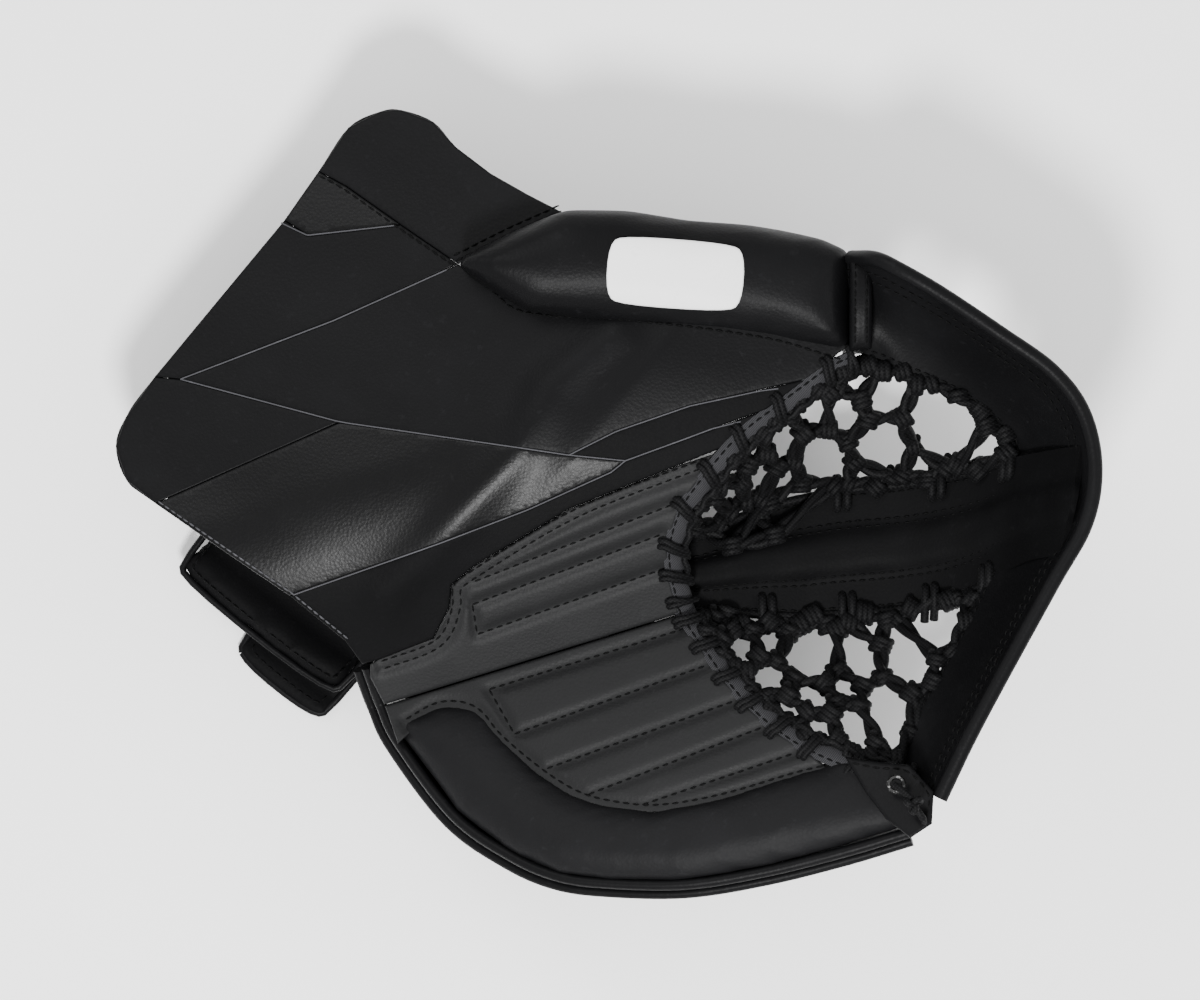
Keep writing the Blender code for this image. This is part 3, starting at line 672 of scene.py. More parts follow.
def set_heights(verts, height, outline, edge):
    """Lifts flat verts to a surface, turned down over a rounded edge."""
    flat = np.array([vert.co[:2] for vert in verts]) / MM
    near = np.clip(distance_to(flat, [closed_ring(outline)]) / edge, 0.0, 1.0)
    turned = edge * (1.0 - np.sqrt(np.maximum(0.0, 1.0 - (1.0 - near) ** 2)))
    placed = world(np.column_stack([flat, height(flat) - turned]))
    for vert, place in zip(verts, placed):
        vert.co = place


def draped(name, outline, height, under, look, body, spacing=2.4, edge=0.9):
    """A sheet or pad of this plan outline, from a surface down to one under it, with turned edges."""
    outline = np.asarray(outline, float)
    bm = bmesh.new()
    corners = [bm.verts.new((x * MM, y * MM, 0)) for x, y in outline]
    edges = [bm.edges.new(pair) for pair in zip(corners, corners[1:] + corners[:1])]
    bmesh.ops.contextual_create(bm, geom=edges)
    for ring in (0.12, 0.3, 0.58):
        bmesh.ops.inset_region(bm, faces=[max(bm.faces, key=lambda face: face.calc_area())],
                               thickness=ring * edge * MM, use_even_offset=True, use_boundary=True)
    for axis, normal in ((0, Vector((1, 0, 0))), (1, Vector((0, 1, 0)))):
        first = math.floor(outline[:, axis].min() / spacing) + 1
        last = math.ceil(outline[:, axis].max() / spacing)
        for line in np.arange(first, last) * spacing:
            bmesh.ops.bisect_plane(bm, geom=bm.verts[:] + bm.edges[:] + bm.faces[:], dist=0.05 * MM,
                                   plane_co=normal * float(line) * MM, plane_no=normal)
    made = bmesh.ops.extrude_face_region(bm, geom=bm.faces[:])["geom"]
    upper = [item for item in made if isinstance(item, bmesh.types.BMVert)]
    chosen = set(upper)
    lower = [vert for vert in bm.verts if vert not in chosen]
    set_heights(upper, height, outline, edge)
    flat = np.array([vert.co[:2] for vert in lower]) / MM
    for vert, place in zip(lower, world(np.column_stack([flat, under(flat)]))):
        vert.co = place
    return finished(bm, name, look, body)


def sheet_between(name, inner, outer, across, thickness, look, body, sag=None):
    """A curved sheet between two edges of as many points, with its thickness behind it."""
    bm = bmesh.new()
    count = len(inner) - 1
    bmesh.ops.create_grid(bm, x_segments=count, y_segments=across, size=0.5)
    for vert in bm.verts:
        number, share = round((vert.co.x + 0.5) * count), vert.co.y + 0.5
        place = inner[number] * (1 - share) + outer[number] * share
        if sag:
            place = place + sag(number / count, share)
        vert.co = world(place)[0]
    mesh = bpy.data.meshes.new(name)
    bm.to_mesh(mesh)
    bm.free()
    piece = show(name, mesh, look, None)
    wall = piece.modifiers.new("Wall", "SOLIDIFY")
    wall.thickness = thickness * MM
    wall.offset = 0.0
    settled(piece)
    if body:
        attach(piece, body)
    return piece


def evaluated(piece):
    """The mesh that a piece has after its modifiers, or that Blender makes of a curve."""
    bpy.context.view_layer.update()
    graph = bpy.context.evaluated_depsgraph_get()
    return bpy.data.meshes.new_from_object(piece.evaluated_get(graph))


def settled(piece):
    """Applies a piece's modifiers, so that its mesh is final."""
    mesh = evaluated(piece)
    piece.modifiers.clear()
    piece.data = mesh
    mesh.shade_smooth()
    mesh.set_sharp_from_angle(angle=0.9)


def threads(name, paths, radius, look, body, sides=2, taper=None):
    """Laces, cords or stitches: a tube along each path, all one piece. Paths are in millimetres."""
    curve = bpy.data.curves.new(name, "CURVE")
    curve.dimensions = "3D"
    curve.bevel_depth = radius
    curve.bevel_resolution = sides
    curve.use_fill_caps = True
    for path in paths:
        spline = curve.splines.new("POLY")
        spline.points.add(len(path) - 1)
        coordinates = np.column_stack([world(path), np.ones(len(path))])
        spline.points.foreach_set("co", coordinates.ravel())
        if taper:
            spline.points.foreach_set("radius", taper(np.linspace(0.0, 1.0, len(path))))
    holder = bpy.data.objects.new(name + "_route", curve)
    bpy.context.scene.collection.objects.link(holder)
    mesh = evaluated(holder)
    bpy.data.objects.remove(holder)
    bpy.data.curves.remove(curve)
    bm = bmesh.new()
    bm.from_mesh(mesh)
    bmesh.ops.remove_doubles(bm, verts=bm.verts[:], dist=0.000002)
    return finished(bm, name, look, body, 1.4)


def stitch_taper(share):
    return 0.55 + 0.45 * np.sin(np.pi * share)


def stitch_row(line, height, pitch=None):
    """Short threads one after another along a plan line, each dipping into the leather at its ends."""
    pitch = pitch or sizes().stitch_pitch / MM
    fine = evenly(smooth_line(line, 8), 400)
    count = max(2, int(length_of(fine) / pitch))
    marks = evenly(fine, count * 4 + 1)
    rows = []
    for i in range(count):
        run = marks[4 * i:4 * i + 4]
        lifted = on_surface(run, height)
        lifted[:, 2] += np.array([-0.25, 0.30, 0.30, -0.25])
        rows.append(lifted)
    return rows


def remeshed(piece, voxel):
    """Gives a piece an even mesh, as cloth needs it. The modifier still has to be settled."""
    even = piece.modifiers.new("Even", "REMESH")
    even.mode = "VOXEL"
    even.voxel_size = voxel * MM


def places_of(mesh):
    places = np.empty(len(mesh.vertices) * 3)
    mesh.vertices.foreach_get("co", places)
    return places.reshape(-1, 3)


def stitches_along(line, lifts=(0.0, 0.0, 0.0, 0.0)):
    """Short threads one after another along a line in space, each with these lifts at its four points."""
    count = int(length_of(line) / (sizes().stitch_pitch / MM))
    marks = evenly(line, 4 * count + 1)
    raised = np.array([(0.0, 0.0, lift) for lift in lifts])
    return [marks[4 * i:4 * i + 4] + raised for i in range(count)]


def inflated(piece, voxel, most):
    """A pad blown up against its own cover by cloth simulation, moved no further than the cap."""
    remeshed(piece, voxel)
    settled(piece)
    start = places_of(piece.data)
    cloth = piece.modifiers.new("Cloth", "CLOTH")
    cloth.settings.use_pressure = True
    cloth.settings.uniform_pressure_force = CLOTH_PRESSURE
    cloth.settings.effector_weights.gravity = 0.0
    cloth.settings.quality = 4
    cloth.point_cache.frame_start = 1
    cloth.point_cache.frame_end = sizes().inflate_frames
    for number in range(1, sizes().inflate_frames + 1):
        bpy.context.scene.frame_set(number)
    graph = bpy.context.evaluated_depsgraph_get()
    mesh = bpy.data.meshes.new_from_object(piece.evaluated_get(graph))
    piece.modifiers.clear()
    move = places_of(mesh) - start
    far = np.linalg.norm(move, axis=1)[:, None]
    blown = start + move * np.minimum(1.0, most * MM / np.maximum(far, 1e-9))
    mesh.vertices.foreach_set("co", blown.ravel())
    piece.data = mesh
    bpy.context.scene.frame_set(1)
    smoother = piece.modifiers.new("Finish", "SUBSURF")
    smoother.levels = 1
    smoother.render_levels = 1
    settled(piece)


def pillow(height, outline, rise, radius):
    """A surface that rises from its outline in a quarter round and is level beyond."""
    ring = [closed_ring(outline)]

    def crowned(points):
        near = np.clip(distance_to(points, ring) / radius, 0.0, 1.0)
        return height(points) + rise * np.sqrt(np.maximum(0.0, 1.0 - (1.0 - near) ** 2))
    return crowned


def skin_at(lift=0.0):
    return lambda points: skin(points[:, 0], points[:, 1]) + lift


def layer_at(depth):
    """A layer of the padding, this far below the palm side."""
    return lambda points: bare_skin(points[:, 0], points[:, 1]) - depth


def flat_at(level):
    return lambda points: np.full(len(points), float(level))


def made_of(piece, slot, *nodes, fill=None):
    """Hides the nodes that a piece stands for; what it is made of and how full it is are not used."""
    if nodes:
        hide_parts(*nodes)


def sewn(name, rows, body, look="thread", thickness=1.0):
    """Rows of stitches as one piece."""
    piece = threads(name, rows, sizes().stitch_radius * thickness, look, body, 1, stitch_taper)
    made_of(piece, "nylon_lace")
    return piece


POCKET_START = tuple(world([(120, 48, 90)])[0])
POCKET_END = tuple(world([(146, -40, 90)])[0])


def bend_in_pocket(piece):
    """Bakes a pocket piece's transform into its mesh."""
    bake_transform(piece)


# ---------------------------------------------------------------- the pieces

class GLOVE_OT_cuff(Operator):
    """Leather panels of the cuff and the wrist's crest, their seams, and the boxing round the board"""

    bl_idname = "glove.cuff"
    bl_label = "Cuff"

    def execute(self, context):
        panels = {
            "cuff_corner_panel": ("smooth", 0.0),
            "cuff_notch_panel": ("glossy", 0.35),
            "cuff_wedge_panel": ("smooth", 0.0),
            "cuff_diamond_panel": ("smooth", 0.45),
            "cuff_end_panel": ("smooth", 0.1),
            "cuff_dark_panel": ("glossy", 0.35),
            "accent_panel": ("matte", 0.7),
            "heel_ridge_panel": ("matte", 0.0),
        }
        lacing = sideways(smooth_line(LACED_EDGE_UPPER, 5), 0.6)
        for node, (look, lift) in panels.items():
            outline = carried_to(grown(top_outline(node), 0.52), lacing, 11.0)
            if node == "cuff_diamond_panel":
                outline[distance_to(outline, [THUMB_LOWER_SEAM[3:]]) < 6.0] += (3.2, 4.0)
            name = node.replace("panel", "leather")
            piece = draped(name, outline, skin_at(lift), skin_at(-PANEL_DEPTH), look, "thumb_side",
                           edge=sizes().panel_edge / MM)
            made_of(piece, "smooth_leather" if look == "smooth" else "glossy_leather", node, fill=0.5)
        self.seams()
        self.boxing()
        return {"FINISHED"}

    def seams(self):
        rows = []
        for offset in (1.6, 4.2):
            rows += stitch_row(sideways(smooth_line(THUMB_CUFF_SEAM, 4), -offset), skin_at(0.2))
        rows += stitch_row(sideways(smooth_line(CORNER_SEAM, 3), 1.6), skin_at(0.7))
        rows += stitch_row(sideways(smooth_line(THUMB_LOWER_SEAM[1:], 3), 1.8), skin_at(0.7))
        sewn("cuff_stitching", rows, "thumb_side")
        lower = evenly(sideways(CUFF_RIM[1:4], 1.6), 60)
        rows = stitch_row(lower, skin_at(0.5), 3.2)
        sewn("cuff_lower_stitching", rows, "thumb_side", "edge")
        # Pale lines along the panel joins: a painted highlight for the light their turned edges catch.
        lines = [on_surface(evenly(line, 40), skin_at(0.6)) for line in HIGHLIGHTED_JOINS]
        edges = threads("painted_edge_highlights", lines, sizes().edge_highlight_width, "edge", "thumb_side", 1)
        made_of(edges, "smooth_leather")

    def boxing(self):
        rim = smooth_line(CUFF_RIM, 5)
        upper = on_surface(sideways(rim, 2.0), skin_at(-2.4))
        lower = on_surface(sideways(rim, 2.6), skin_at(-BOXING_DEPTH))

        def crumple(along, share):
            return np.array([0.0, 0.0, 0.4 * math.sin(along * 160.0)])

        piece = sheet_between("cuff_boxing_leather", upper, lower, 8, BOXING_THICKNESS, "smooth",
                              "thumb_side", crumple)
        made_of(piece, "smooth_leather", "cuff_boxing")
        path = on_surface(sideways(rim, 1.2), skin_at(-PANEL_DEPTH))
        bead = threads("cuff_edge_bead", [path], CORD_RADIUS_BOXING, "smooth", "thumb_side")
        made_of(bead, "smooth_leather")


class GLOVE_OT_thumb(Operator):
    """Stuffed thumb with its end strap, plain patch, side wall and back pad"""

    bl_idname = "glove.thumb"
    bl_label = "Thumb"

    def execute(self, context):
        outline = grown(top_outline("thumb_pad"), 1.6)
        top = pillow(flat_at(111.5), outline, 14.0, 17.0)
        pad = draped("thumb_roll", outline, top, flat_at(79.0), "smooth", "thumb_side", 3.0, 1.5)
        inflated(pad, 3.5, 1.6)
        made_of(pad, "smooth_leather", "thumb_pad", fill=0.8)
        self.patch(top)
        self.strap()
        self.back()
        return {"FINISHED"}

    def patch(self, top):
        outline = rounded(top_outline("thumb_patch"), 3, 0.12)
        piece = draped("thumb_plain_patch", outline, lambda points: top(points) + 1.9,
                       lambda points: top(points) + 0.5, "patch", "thumb_side", 2.0, 0.8)
        made_of(piece, "white_synthetic", "thumb_patch")

    def strap(self):
        outline = grown(top_outline("thumb_end_binding"), 0.6)

        def over(points):
            return 129.0 - 0.015 * (points[:, 1] - 86.0) ** 2

        piece = draped("thumb_end_strap", outline, over, flat_at(34.0), "smooth", "thumb_side", 2.0, 3.2)
        made_of(piece, "smooth_leather", "thumb_end_binding")
        rows = []
        for x in (108.4, 113.4):
            rows += stitch_row([(x, 68), (x - 0.2, 86), (x, 103)], over, 3.6)
        sewn("thumb_strap_stitching", rows, "thumb_side")

    def back(self):
        outline = grown(top_outline("thumb_back_pad"), -0.6)
        piece = draped("thumb_back_cushion", outline, flat_at(29.5), flat_at(0.6), "smooth",
                       "thumb_side", 5.0, 6.0)
        inflated(piece, 5.0, 1.5)
        lift_to_floor(piece)
        made_of(piece, "smooth_leather", "thumb_back_pad", fill=0.8)
        self.wall()

    def wall(self):
        side = evenly(smooth_line(THUMB_SIDE, 6), 60)

        def crumple(along, share):
            belly = math.sin(math.pi * share)
            return np.array([0.0, (2.0 + 0.5 * math.sin(along * 50.0)) * belly, 0.0])

        piece = sheet_between("thumb_side_wall", at_level(side, 25), at_level(side, 85), 16, WALL_THICKNESS,
                              "smooth", "thumb_side", crumple)
        made_of(piece, "smooth_leather", "thumb_gusset")


def lift_to_floor(piece):
    """Flattens what lies below the floor onto it."""
    for vert in piece.data.vertices:
        vert.co.z = max(vert.co.z, 0.0002)


class GLOVE_OT_palm(Operator):
    """Two quilted halves of the palm, with every row of stitches"""

    bl_idname = "glove.palm"
    bl_label = "Quilted palm"

    def execute(self, context):
        heel = [from_break(-5, 0.3), (-99.5, -76), (-99.5, -70)]
        outline = PALM_SEAM[::-1] + [*LACED_EDGE_UPPER[4:], from_break(129, 0.3)] + heel
        rows = [sideways(smooth_line(PALM_SEAM, 4), -offset) for offset in (1.2, 4.6)]
        self.half("palm_upper", "thumb_side", outline, RIBS_UPPER + rows + RIB_CAPS_UPPER)
        heel = [(-82, -99.5), (-87.5, -104.5), (-92.5, -91)]
        valley = [from_break(-5, -0.3), from_break(129, -0.3)]
        outline = valley + [*LACED_EDGE_LOWER[1:7], *FINGER_SEAM[:-1]] + heel
        rows = [sideways(smooth_line(FINGER_SEAM, 4), offset) for offset in (1.0, 4.2)]
        self.half("palm_lower", "finger_side", outline, RIBS_LOWER + rows + RIB_CAPS_LOWER)
        return {"FINISHED"}

    def half(self, node, body, outline, lines):
        height = self.quilted(lines)
        piece = draped(node + "_leather", outline, height, skin_at(-PALM_DEPTH), "palm", body, 1.25, 1.2)
        made_of(piece, "palm_leather", node, fill=0.6)
        rows = []
        for line in lines:
            rows += stitch_row(line, height)
        sewn(node + "_stitching", rows, body)

    def quilted(self, lines):
        rise = sizes().rib_height / MM

        def height(points):
            near = distance_to(points, lines)
            return skin(points[:, 0], points[:, 1]) - 1.2 + rise * (1.0 - np.exp(-(near / 2.6) ** 2))
        return height


class GLOVE_OT_laced_edges(Operator):
    """Woven tape bound over the pocket's edge, and the lace whipped round it"""

    bl_idname = "glove.laced_edges"
    bl_label = "Laced edges"

    def execute(self, context):
        sides = (("upper", LACED_EDGE_UPPER, "thumb_side"), ("lower", LACED_EDGE_LOWER, "finger_side"))
        for side, edge, body in sides:
            path = on_surface(evenly(smooth_line(edge, 8), 120), skin_at())
            tape = self.tape(f"palm_tape_{side}", path, body)
            made_of(tape, "woven_tape", f"palm_edge_tape_{side}")
            holes = edge if side == "upper" else edge[1:]
            laces = self.whip(path, holes)
            lace = threads(f"palm_whip_{side}", laces, sizes().whip_radius, "lace", body, 3)
            made_of(lace, "nylon_lace", f"palm_whip_lace_{side}")
            rows = stitch_row(sideways(path, -0.9), skin_at(0.55))
            sewn(f"palm_tape_stitching_{side}", rows, body)
        return {"FINISHED"}

    def beside(self, path, number, offset, lift):
        """A point this far into the pocket from the edge, and this far above it."""
        run = path[min(number + 1, len(path) - 1)] - path[max(number - 1, 0)]
        run = run / np.linalg.norm(run[:2])
        return path[number] + np.array([-run[1] * offset, run[0] * offset, lift])

    def tape(self, name, path, body):
        """A tape folded over the edge of the palm, from its top to the lining."""
        fold = smooth_line(TAPE_FOLD, 3)
        bm = bmesh.new()
        bmesh.ops.create_grid(bm, x_segments=len(path) - 1, y_segments=len(fold) - 1, size=0.5)
        for vert in bm.verts:
            number = round((vert.co.x + 0.5) * (len(path) - 1))
            offset, lift = fold[round((vert.co.y + 0.5) * (len(fold) - 1))]
            vert.co = world(self.beside(path, number, offset, lift))[0]
        bmesh.ops.remove_doubles(bm, verts=bm.verts[:], dist=0.00001)
        bmesh.ops.holes_fill(bm, edges=[edge for edge in bm.edges if edge.is_boundary], sides=0)
        return finished(bm, name, "tape", body, 1.2)

    def whip(self, path, holes):
        """A lace that crosses the tape at every hole, and one that runs along the pocket's side of it."""
        laces = []
        for hole in holes:
            at = int(np.argmin(np.linalg.norm(path[:, :2] - np.asarray(hole[:2], float), axis=1)))
            for beside in (0, 2):
                route = []
                for onward, offset, lift in WHIP_ROUTE:
                    number = min(max(at + onward + beside - 2, 0), len(path) - 1)
                    route.append(self.beside(path, number, offset, lift))
                laces.append(smooth_line(route, 4))
        running = []
        for number in range(6, len(path) - 6):
            offset = 7.9 + 0.5 * math.sin(number * 0.9)
            running.append(self.beside(path, number, offset, -2.6 + 0.6 * math.sin(number * 0.55)))
        laces.append(np.array(running))
        return laces


class GLOVE_OT_finger_side(Operator):
    """Finger roll with its piping, the wall under it and the padded back of the hand"""

    bl_idname = "glove.finger_side"
    bl_label = "Finger side"

    def execute(self, context):
        tip = [(131, -131), (130, -121.5), (118, -115), (104, -110.5)]
        tucked = [tuple(point) for point in sideways(FINGER_SEAM[1:], 3.2)]
        outline = [(-93, -91.5), (-90, -98.6)] + FINGER_ROLL_EDGE[2:] + tip + tucked
        # The roll wears a lighter copy of the smooth leather: painted light for the light it catches.
        roll = draped("finger_roll", outline, self.crown, skin_at(-20.0), "roll", "finger_side", 3.0, 1.2)
        inflated(roll, 3.5, 1.6)
        made_of(roll, "smooth_leather", "finger_pad", fill=0.85)
        edge = smooth_line(FINGER_ROLL_EDGE, 8)
        beads = (("finger_piping_cord", 1.3, skin_at(-8.0), 2.5, "finger_pad_piping"),
                 ("back_edge_cord", 5.6, skin_at(-18.5), 2.4, "back_board_bead"))
        for name, offset, height, radius, node in beads:
            path = on_surface(sideways(edge, offset), height)
            bead = threads(name, [path], radius * MM, "smooth", "finger_side", 3)
            made_of(bead, "smooth_leather", node)
        self.wall(edge)
        self.back()
        return {"FINISHED"}

    def crown(self, points):
        """The roll's top: level with the palm at their seam, then swelling, and turned down at the piping."""
        out = distance_to(points, [FINGER_ROLL_EDGE])
        inward = distance_to(points, [sideways(FINGER_SEAM, 3.2)])
        swell = 3.0 * np.sin(np.pi * np.clip(inward / (inward + out + 1e-6), 0.0, 1.0) ** 0.9)
        turned = 6.5 * (1.0 - np.sqrt(np.maximum(0.0, 1.0 - (1.0 - np.clip(out / 12.0, 0.0, 1.0)) ** 2)))
        tuck = 2.2 * np.clip(1.0 - inward / 3.0, 0.0, 1.0) ** 2
        return skin(points[:, 0], points[:, 1]) + swell - turned - tuck

    def wall(self, edge):
        path = evenly(sideways(edge, 2.4), 110)
        lower = at_level(path, 12.5)
        upper = on_surface(path, skin_at(-9.0))

        def crumple(along, share):
            return np.array([0.0, 0.0, 1.2 * math.sin(along * 37.0) * math.sin(math.pi * share)])

        piece = sheet_between("finger_side_wall", lower, upper, 24, WALL_THICKNESS, "smooth",
                              "finger_side", crumple)
        made_of(piece, "smooth_leather", "finger_gusset")
        rows = []
        for share in (0.10, 0.74):
            line = lower * (1 - share) + upper * share
            line[:, :2] = sideways(line, 1.25)[:, :2]
            rows += stitches_along(line)
        sewn("wall_stitching", rows, "finger_side")
        route = at_level(sideways(path, 0.8), 13.4)
        foot = threads("wall_foot_cord", [route], CORD_RADIUS_WALL, "smooth", "finger_side", 3)
        made_of(foot, "smooth_leather")

    def back(self):
        """The back-of-hand board: foam blocks under leather, parted by sewn channels."""
        outline = grown(top_outline("back_of_hand_board"), -0.4)
        piece = draped("back_of_hand_leather", outline, flat_at(13.8), flat_at(0.2), "smooth",
                       "finger_side", 2.6, 2.0)
        flat = plan(places_of(piece.data))[:, :2]
        channel = distance_to(flat, BACK_CHANNELS)
        rim = distance_to(flat, [closed_ring(outline)])
        rise = 2.6 * np.exp(-(channel / 2.6) ** 2) + 4.0 * np.clip(1.0 - rim / 6.0, 0.0, 1.0) ** 2
        for vert, lift in zip(piece.data.vertices, rise):
            if vert.co.z < 0.004:
                vert.co.z += lift * MM
        made_of(piece, "smooth_leather", "back_of_hand_board", fill=0.7)


class GLOVE_OT_fingertip(Operator):
    """Leather tab over the fingertip, with its eyelet and knotted lace"""

    bl_idname = "glove.fingertip"
    bl_label = "Fingertip tab"

    def execute(self, context):
        top = skin_at(8.6)
        tab = draped("fingertip_leather", FINGERTIP_TAB, top, skin_at(5.4), "smooth", "finger_side", 2.0, 1.4)
        made_of(tab, "smooth_leather", "fingertip_tab")
        sewn("fingertip_stitching", stitch_row(FINGERTIP_SEAM, top), "finger_side")
        eyelet = frame["nodes"]["tab_eyelet"].data
        eyelet.materials.clear()
        eyelet.materials.append(LOOKS["metal"])
        self.knot()
        return {"FINISHED"}

    def knot(self):
        """An overhand knot: a trefoil of lace, with two short ends through the eyelet."""
        low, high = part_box("tab_lace_knot")
        centre = plan((np.array(low) + np.array(high)) / 2)
        t = np.linspace(0.0, 2 * math.pi, 60)
        loops = np.column_stack([
            1.5 * (np.sin(t) + 1.2 * np.sin(2 * t)),
            1.5 * (np.cos(t) - 1.2 * np.cos(2 * t)),
            -1.6 * np.sin(3 * t),
        ]) + centre
        ends = [
            smooth_line([centre + (-1, 2, 0), centre + (-5, 6, -2), centre + (-8, 8, -5)], 6),
            smooth_line([centre + (1, -2, 0), centre + (4, -6, -1), centre + (5, -9, -6)], 6),
        ]
        piece = threads("fingertip_knot", [loops] + ends, CORD_RADIUS_KNOT, "lace", "finger_side", 2)
        made_of(piece, "nylon_lace", "tab_lace_knot")


class GLOVE_OT_band(Operator):
    """The bar of the T: one leather wall round the pocket with a bound, double-stitched rim"""

    bl_idname = "glove.band"
    bl_label = "Pocket band"

    def execute(self, context):
        inner, rim = band_edges(160)
        piece = sheet_between("band_leather", inner, rim, 24, BAND_THICKNESS, "smooth", None, band_sag)
        bend_in_pocket(piece)
        made_of(piece, "smooth_leather", "band_upper", "band_middle", "band_lower", fill=0.8)
        binding = threads("band_rim_leather", [rim + (0, 0, 1.0)], BAND_RIM_RADIUS, "smooth", None, 4)
        bend_in_pocket(binding)
        made_of(binding, "smooth_leather", "band_rim_upper", "band_rim_middle", "band_rim_lower")
        rows = []
        for share in (0.88, 0.80, 0.08):
            rows += self.row(inner, rim, share)
        bend_in_pocket(sewn("band_stitching", rows, None, thickness=1.15))
        return {"FINISHED"}

    def row(self, inner, rim, share):
        """Stitches along the band, standing off its upper face."""
        sag = np.array([band_sag(along, share) for along in np.linspace(0.0, 1.0, len(inner))])
        line = inner * (1 - share) + rim * share + sag
        normal = np.cross(np.gradient(line, axis=0), rim - inner)
        normal /= np.linalg.norm(normal, axis=1)[:, None]
        normal *= np.sign(normal[:, 2:3])
        path = evenly(line + normal * 2.5, 10)
        number = int(length_of(path) / (sizes().stitch_pitch / MM))
        marks = evenly(line + normal * 2.4, number * 4 + 1)
        lift = evenly(normal, number * 4 + 1)
        dip = np.array([[-0.3], [0.3], [0.3], [-0.3]])
        return [marks[4 * i:4 * i + 4] + lift[4 * i:4 * i + 4] * dip for i in range(number)]


def band_edges(count):
    return evenly(smooth_line(BAND_INNER, 8), count), evenly(smooth_line(BAND_RIM, 8), count)


def band_sag(along, share):
    """The band's hollow: it hangs below the line from edge to rim, with soft folds where it turns."""
    belly = math.sin(math.pi * share)
    fold = 1.1 * math.sin(along * 55.0) * math.exp(-((along - 0.5) / 0.12) ** 2) * belly
    return np.array([0.0, 0.0, -6.0 * belly + fold])


class GLOVE_OT_stem(Operator):
    """The stem of the T: stitched flanges, a raised middle and the laces that hold the nets to it"""

    bl_idname = "glove.stem"
    bl_label = "Pocket stem"

    def execute(self, context):
        self.top, self.bottom = (evenly(smooth_line(edge, 8), 120) for edge in (STEM_TOP, STEM_BOTTOM))
        piece = sheet_between("stem_leather", self.bottom, self.top, 40, STEM_THICKNESS, "matte", None,
                              self.crown)
        bend_in_pocket(piece)
        made_of(piece, "smooth_leather", "t_stem", "t_stem_pad", fill=0.5)
        rows = []
        for share in (0.05, 0.26, 0.31, 0.69, 0.74, 0.95):
            rows += self.row(share)
        bend_in_pocket(sewn("stem_stitching", rows, None))
        self.loops("upper", self.top, self.bottom, (0.20, 0.38, 0.57, 0.74))
        self.loops("lower", self.bottom, self.top, (0.22, 0.39, 0.56, 0.71))
        return {"FINISHED"}

    def crown(self, along, share):
        """The raised middle, stuffed between its two rows of stitches."""
        middle = math.exp(-((share - 0.5) / 0.165) ** 4)
        crease = 0.35 * math.sin(along * 47.0) * middle
        return np.array([0.0, 0.0, (3.6 + crease) * middle - 1.0])

    def row(self, share):
        crown = np.array([self.crown(along, share) for along in np.linspace(0.0, 1.0, len(self.top))])
        line = self.bottom * (1 - share) + self.top * share + crown
        line[:, 2] += 1.6
        return stitches_along(line, (-0.3, 0.3, 0.3, -0.3))

    def loops(self, side, near, far, places):
        """Doubled laces that come up through the flange and turn over its edge."""
        paths = []
        for place in places:
            number = round(place * (len(near) - 1))
            edge = near[number]
            inward = far[number] - edge
            inward = inward / np.linalg.norm(inward)
            run = near[number + 1] - edge
            run = run / np.linalg.norm(run)
            for beside in (-2.2, 2.2):
                start = edge + run * beside
                route = [start + inward * inset + (0, 0, lift) for inset, lift in LOOP_ROUTE]
                paths.append(smooth_line(route, 5))
        paths.append(near[8:-30] + (0, 0, 0.4))
        piece = threads(f"stem_lace_loops_{side}", paths, sizes().lace_radius, "lace", None)
        bend_in_pocket(piece)
        made_of(piece, "nylon_lace", f"stem_edge_lace_{side}")


class GLOVE_OT_nets(Operator):
    """Two nets of doubled laces, knotted between the palm, the stem and the band"""

    bl_idname = "glove.nets"
    bl_label = "Lace nets"

    def execute(self, context):
        stem_top, stem_bottom = smooth_line(STEM_TOP, 6), smooth_line(STEM_BOTTOM, 6)
        inner = smooth_line(BAND_INNER, 6)
        nets = (
            ("upper", UPPER_HOLES, LACED_EDGE_UPPER, stem_top[6:40], inner[2:26], 5),
            ("lower", LOWER_HOLES, LACED_EDGE_LOWER, stem_bottom[6:38], inner[34:52], 17),
        )
        for side, holes, laced, stem, band, seed in nets:
            palm = on_surface(sideways(smooth_line(laced, 4), -3.5), skin_at(-5.0))
            net = Net(holes, palm, stem + (0, 0, 1.5), band + (0, 0, 0.5), seed)
            piece = threads(f"net_lace_{side}", net.strands(), sizes().lace_radius, "lace", None)
            bend_in_pocket(piece)
            made_of(piece, "nylon_lace", f"{side}_net")
            knots = threads(f"net_knots_{side}", net.knots(), sizes().lace_radius * 0.95, "lace", None)
            bend_in_pocket(knots)
            made_of(knots, "nylon_lace")
        return {"FINISHED"}


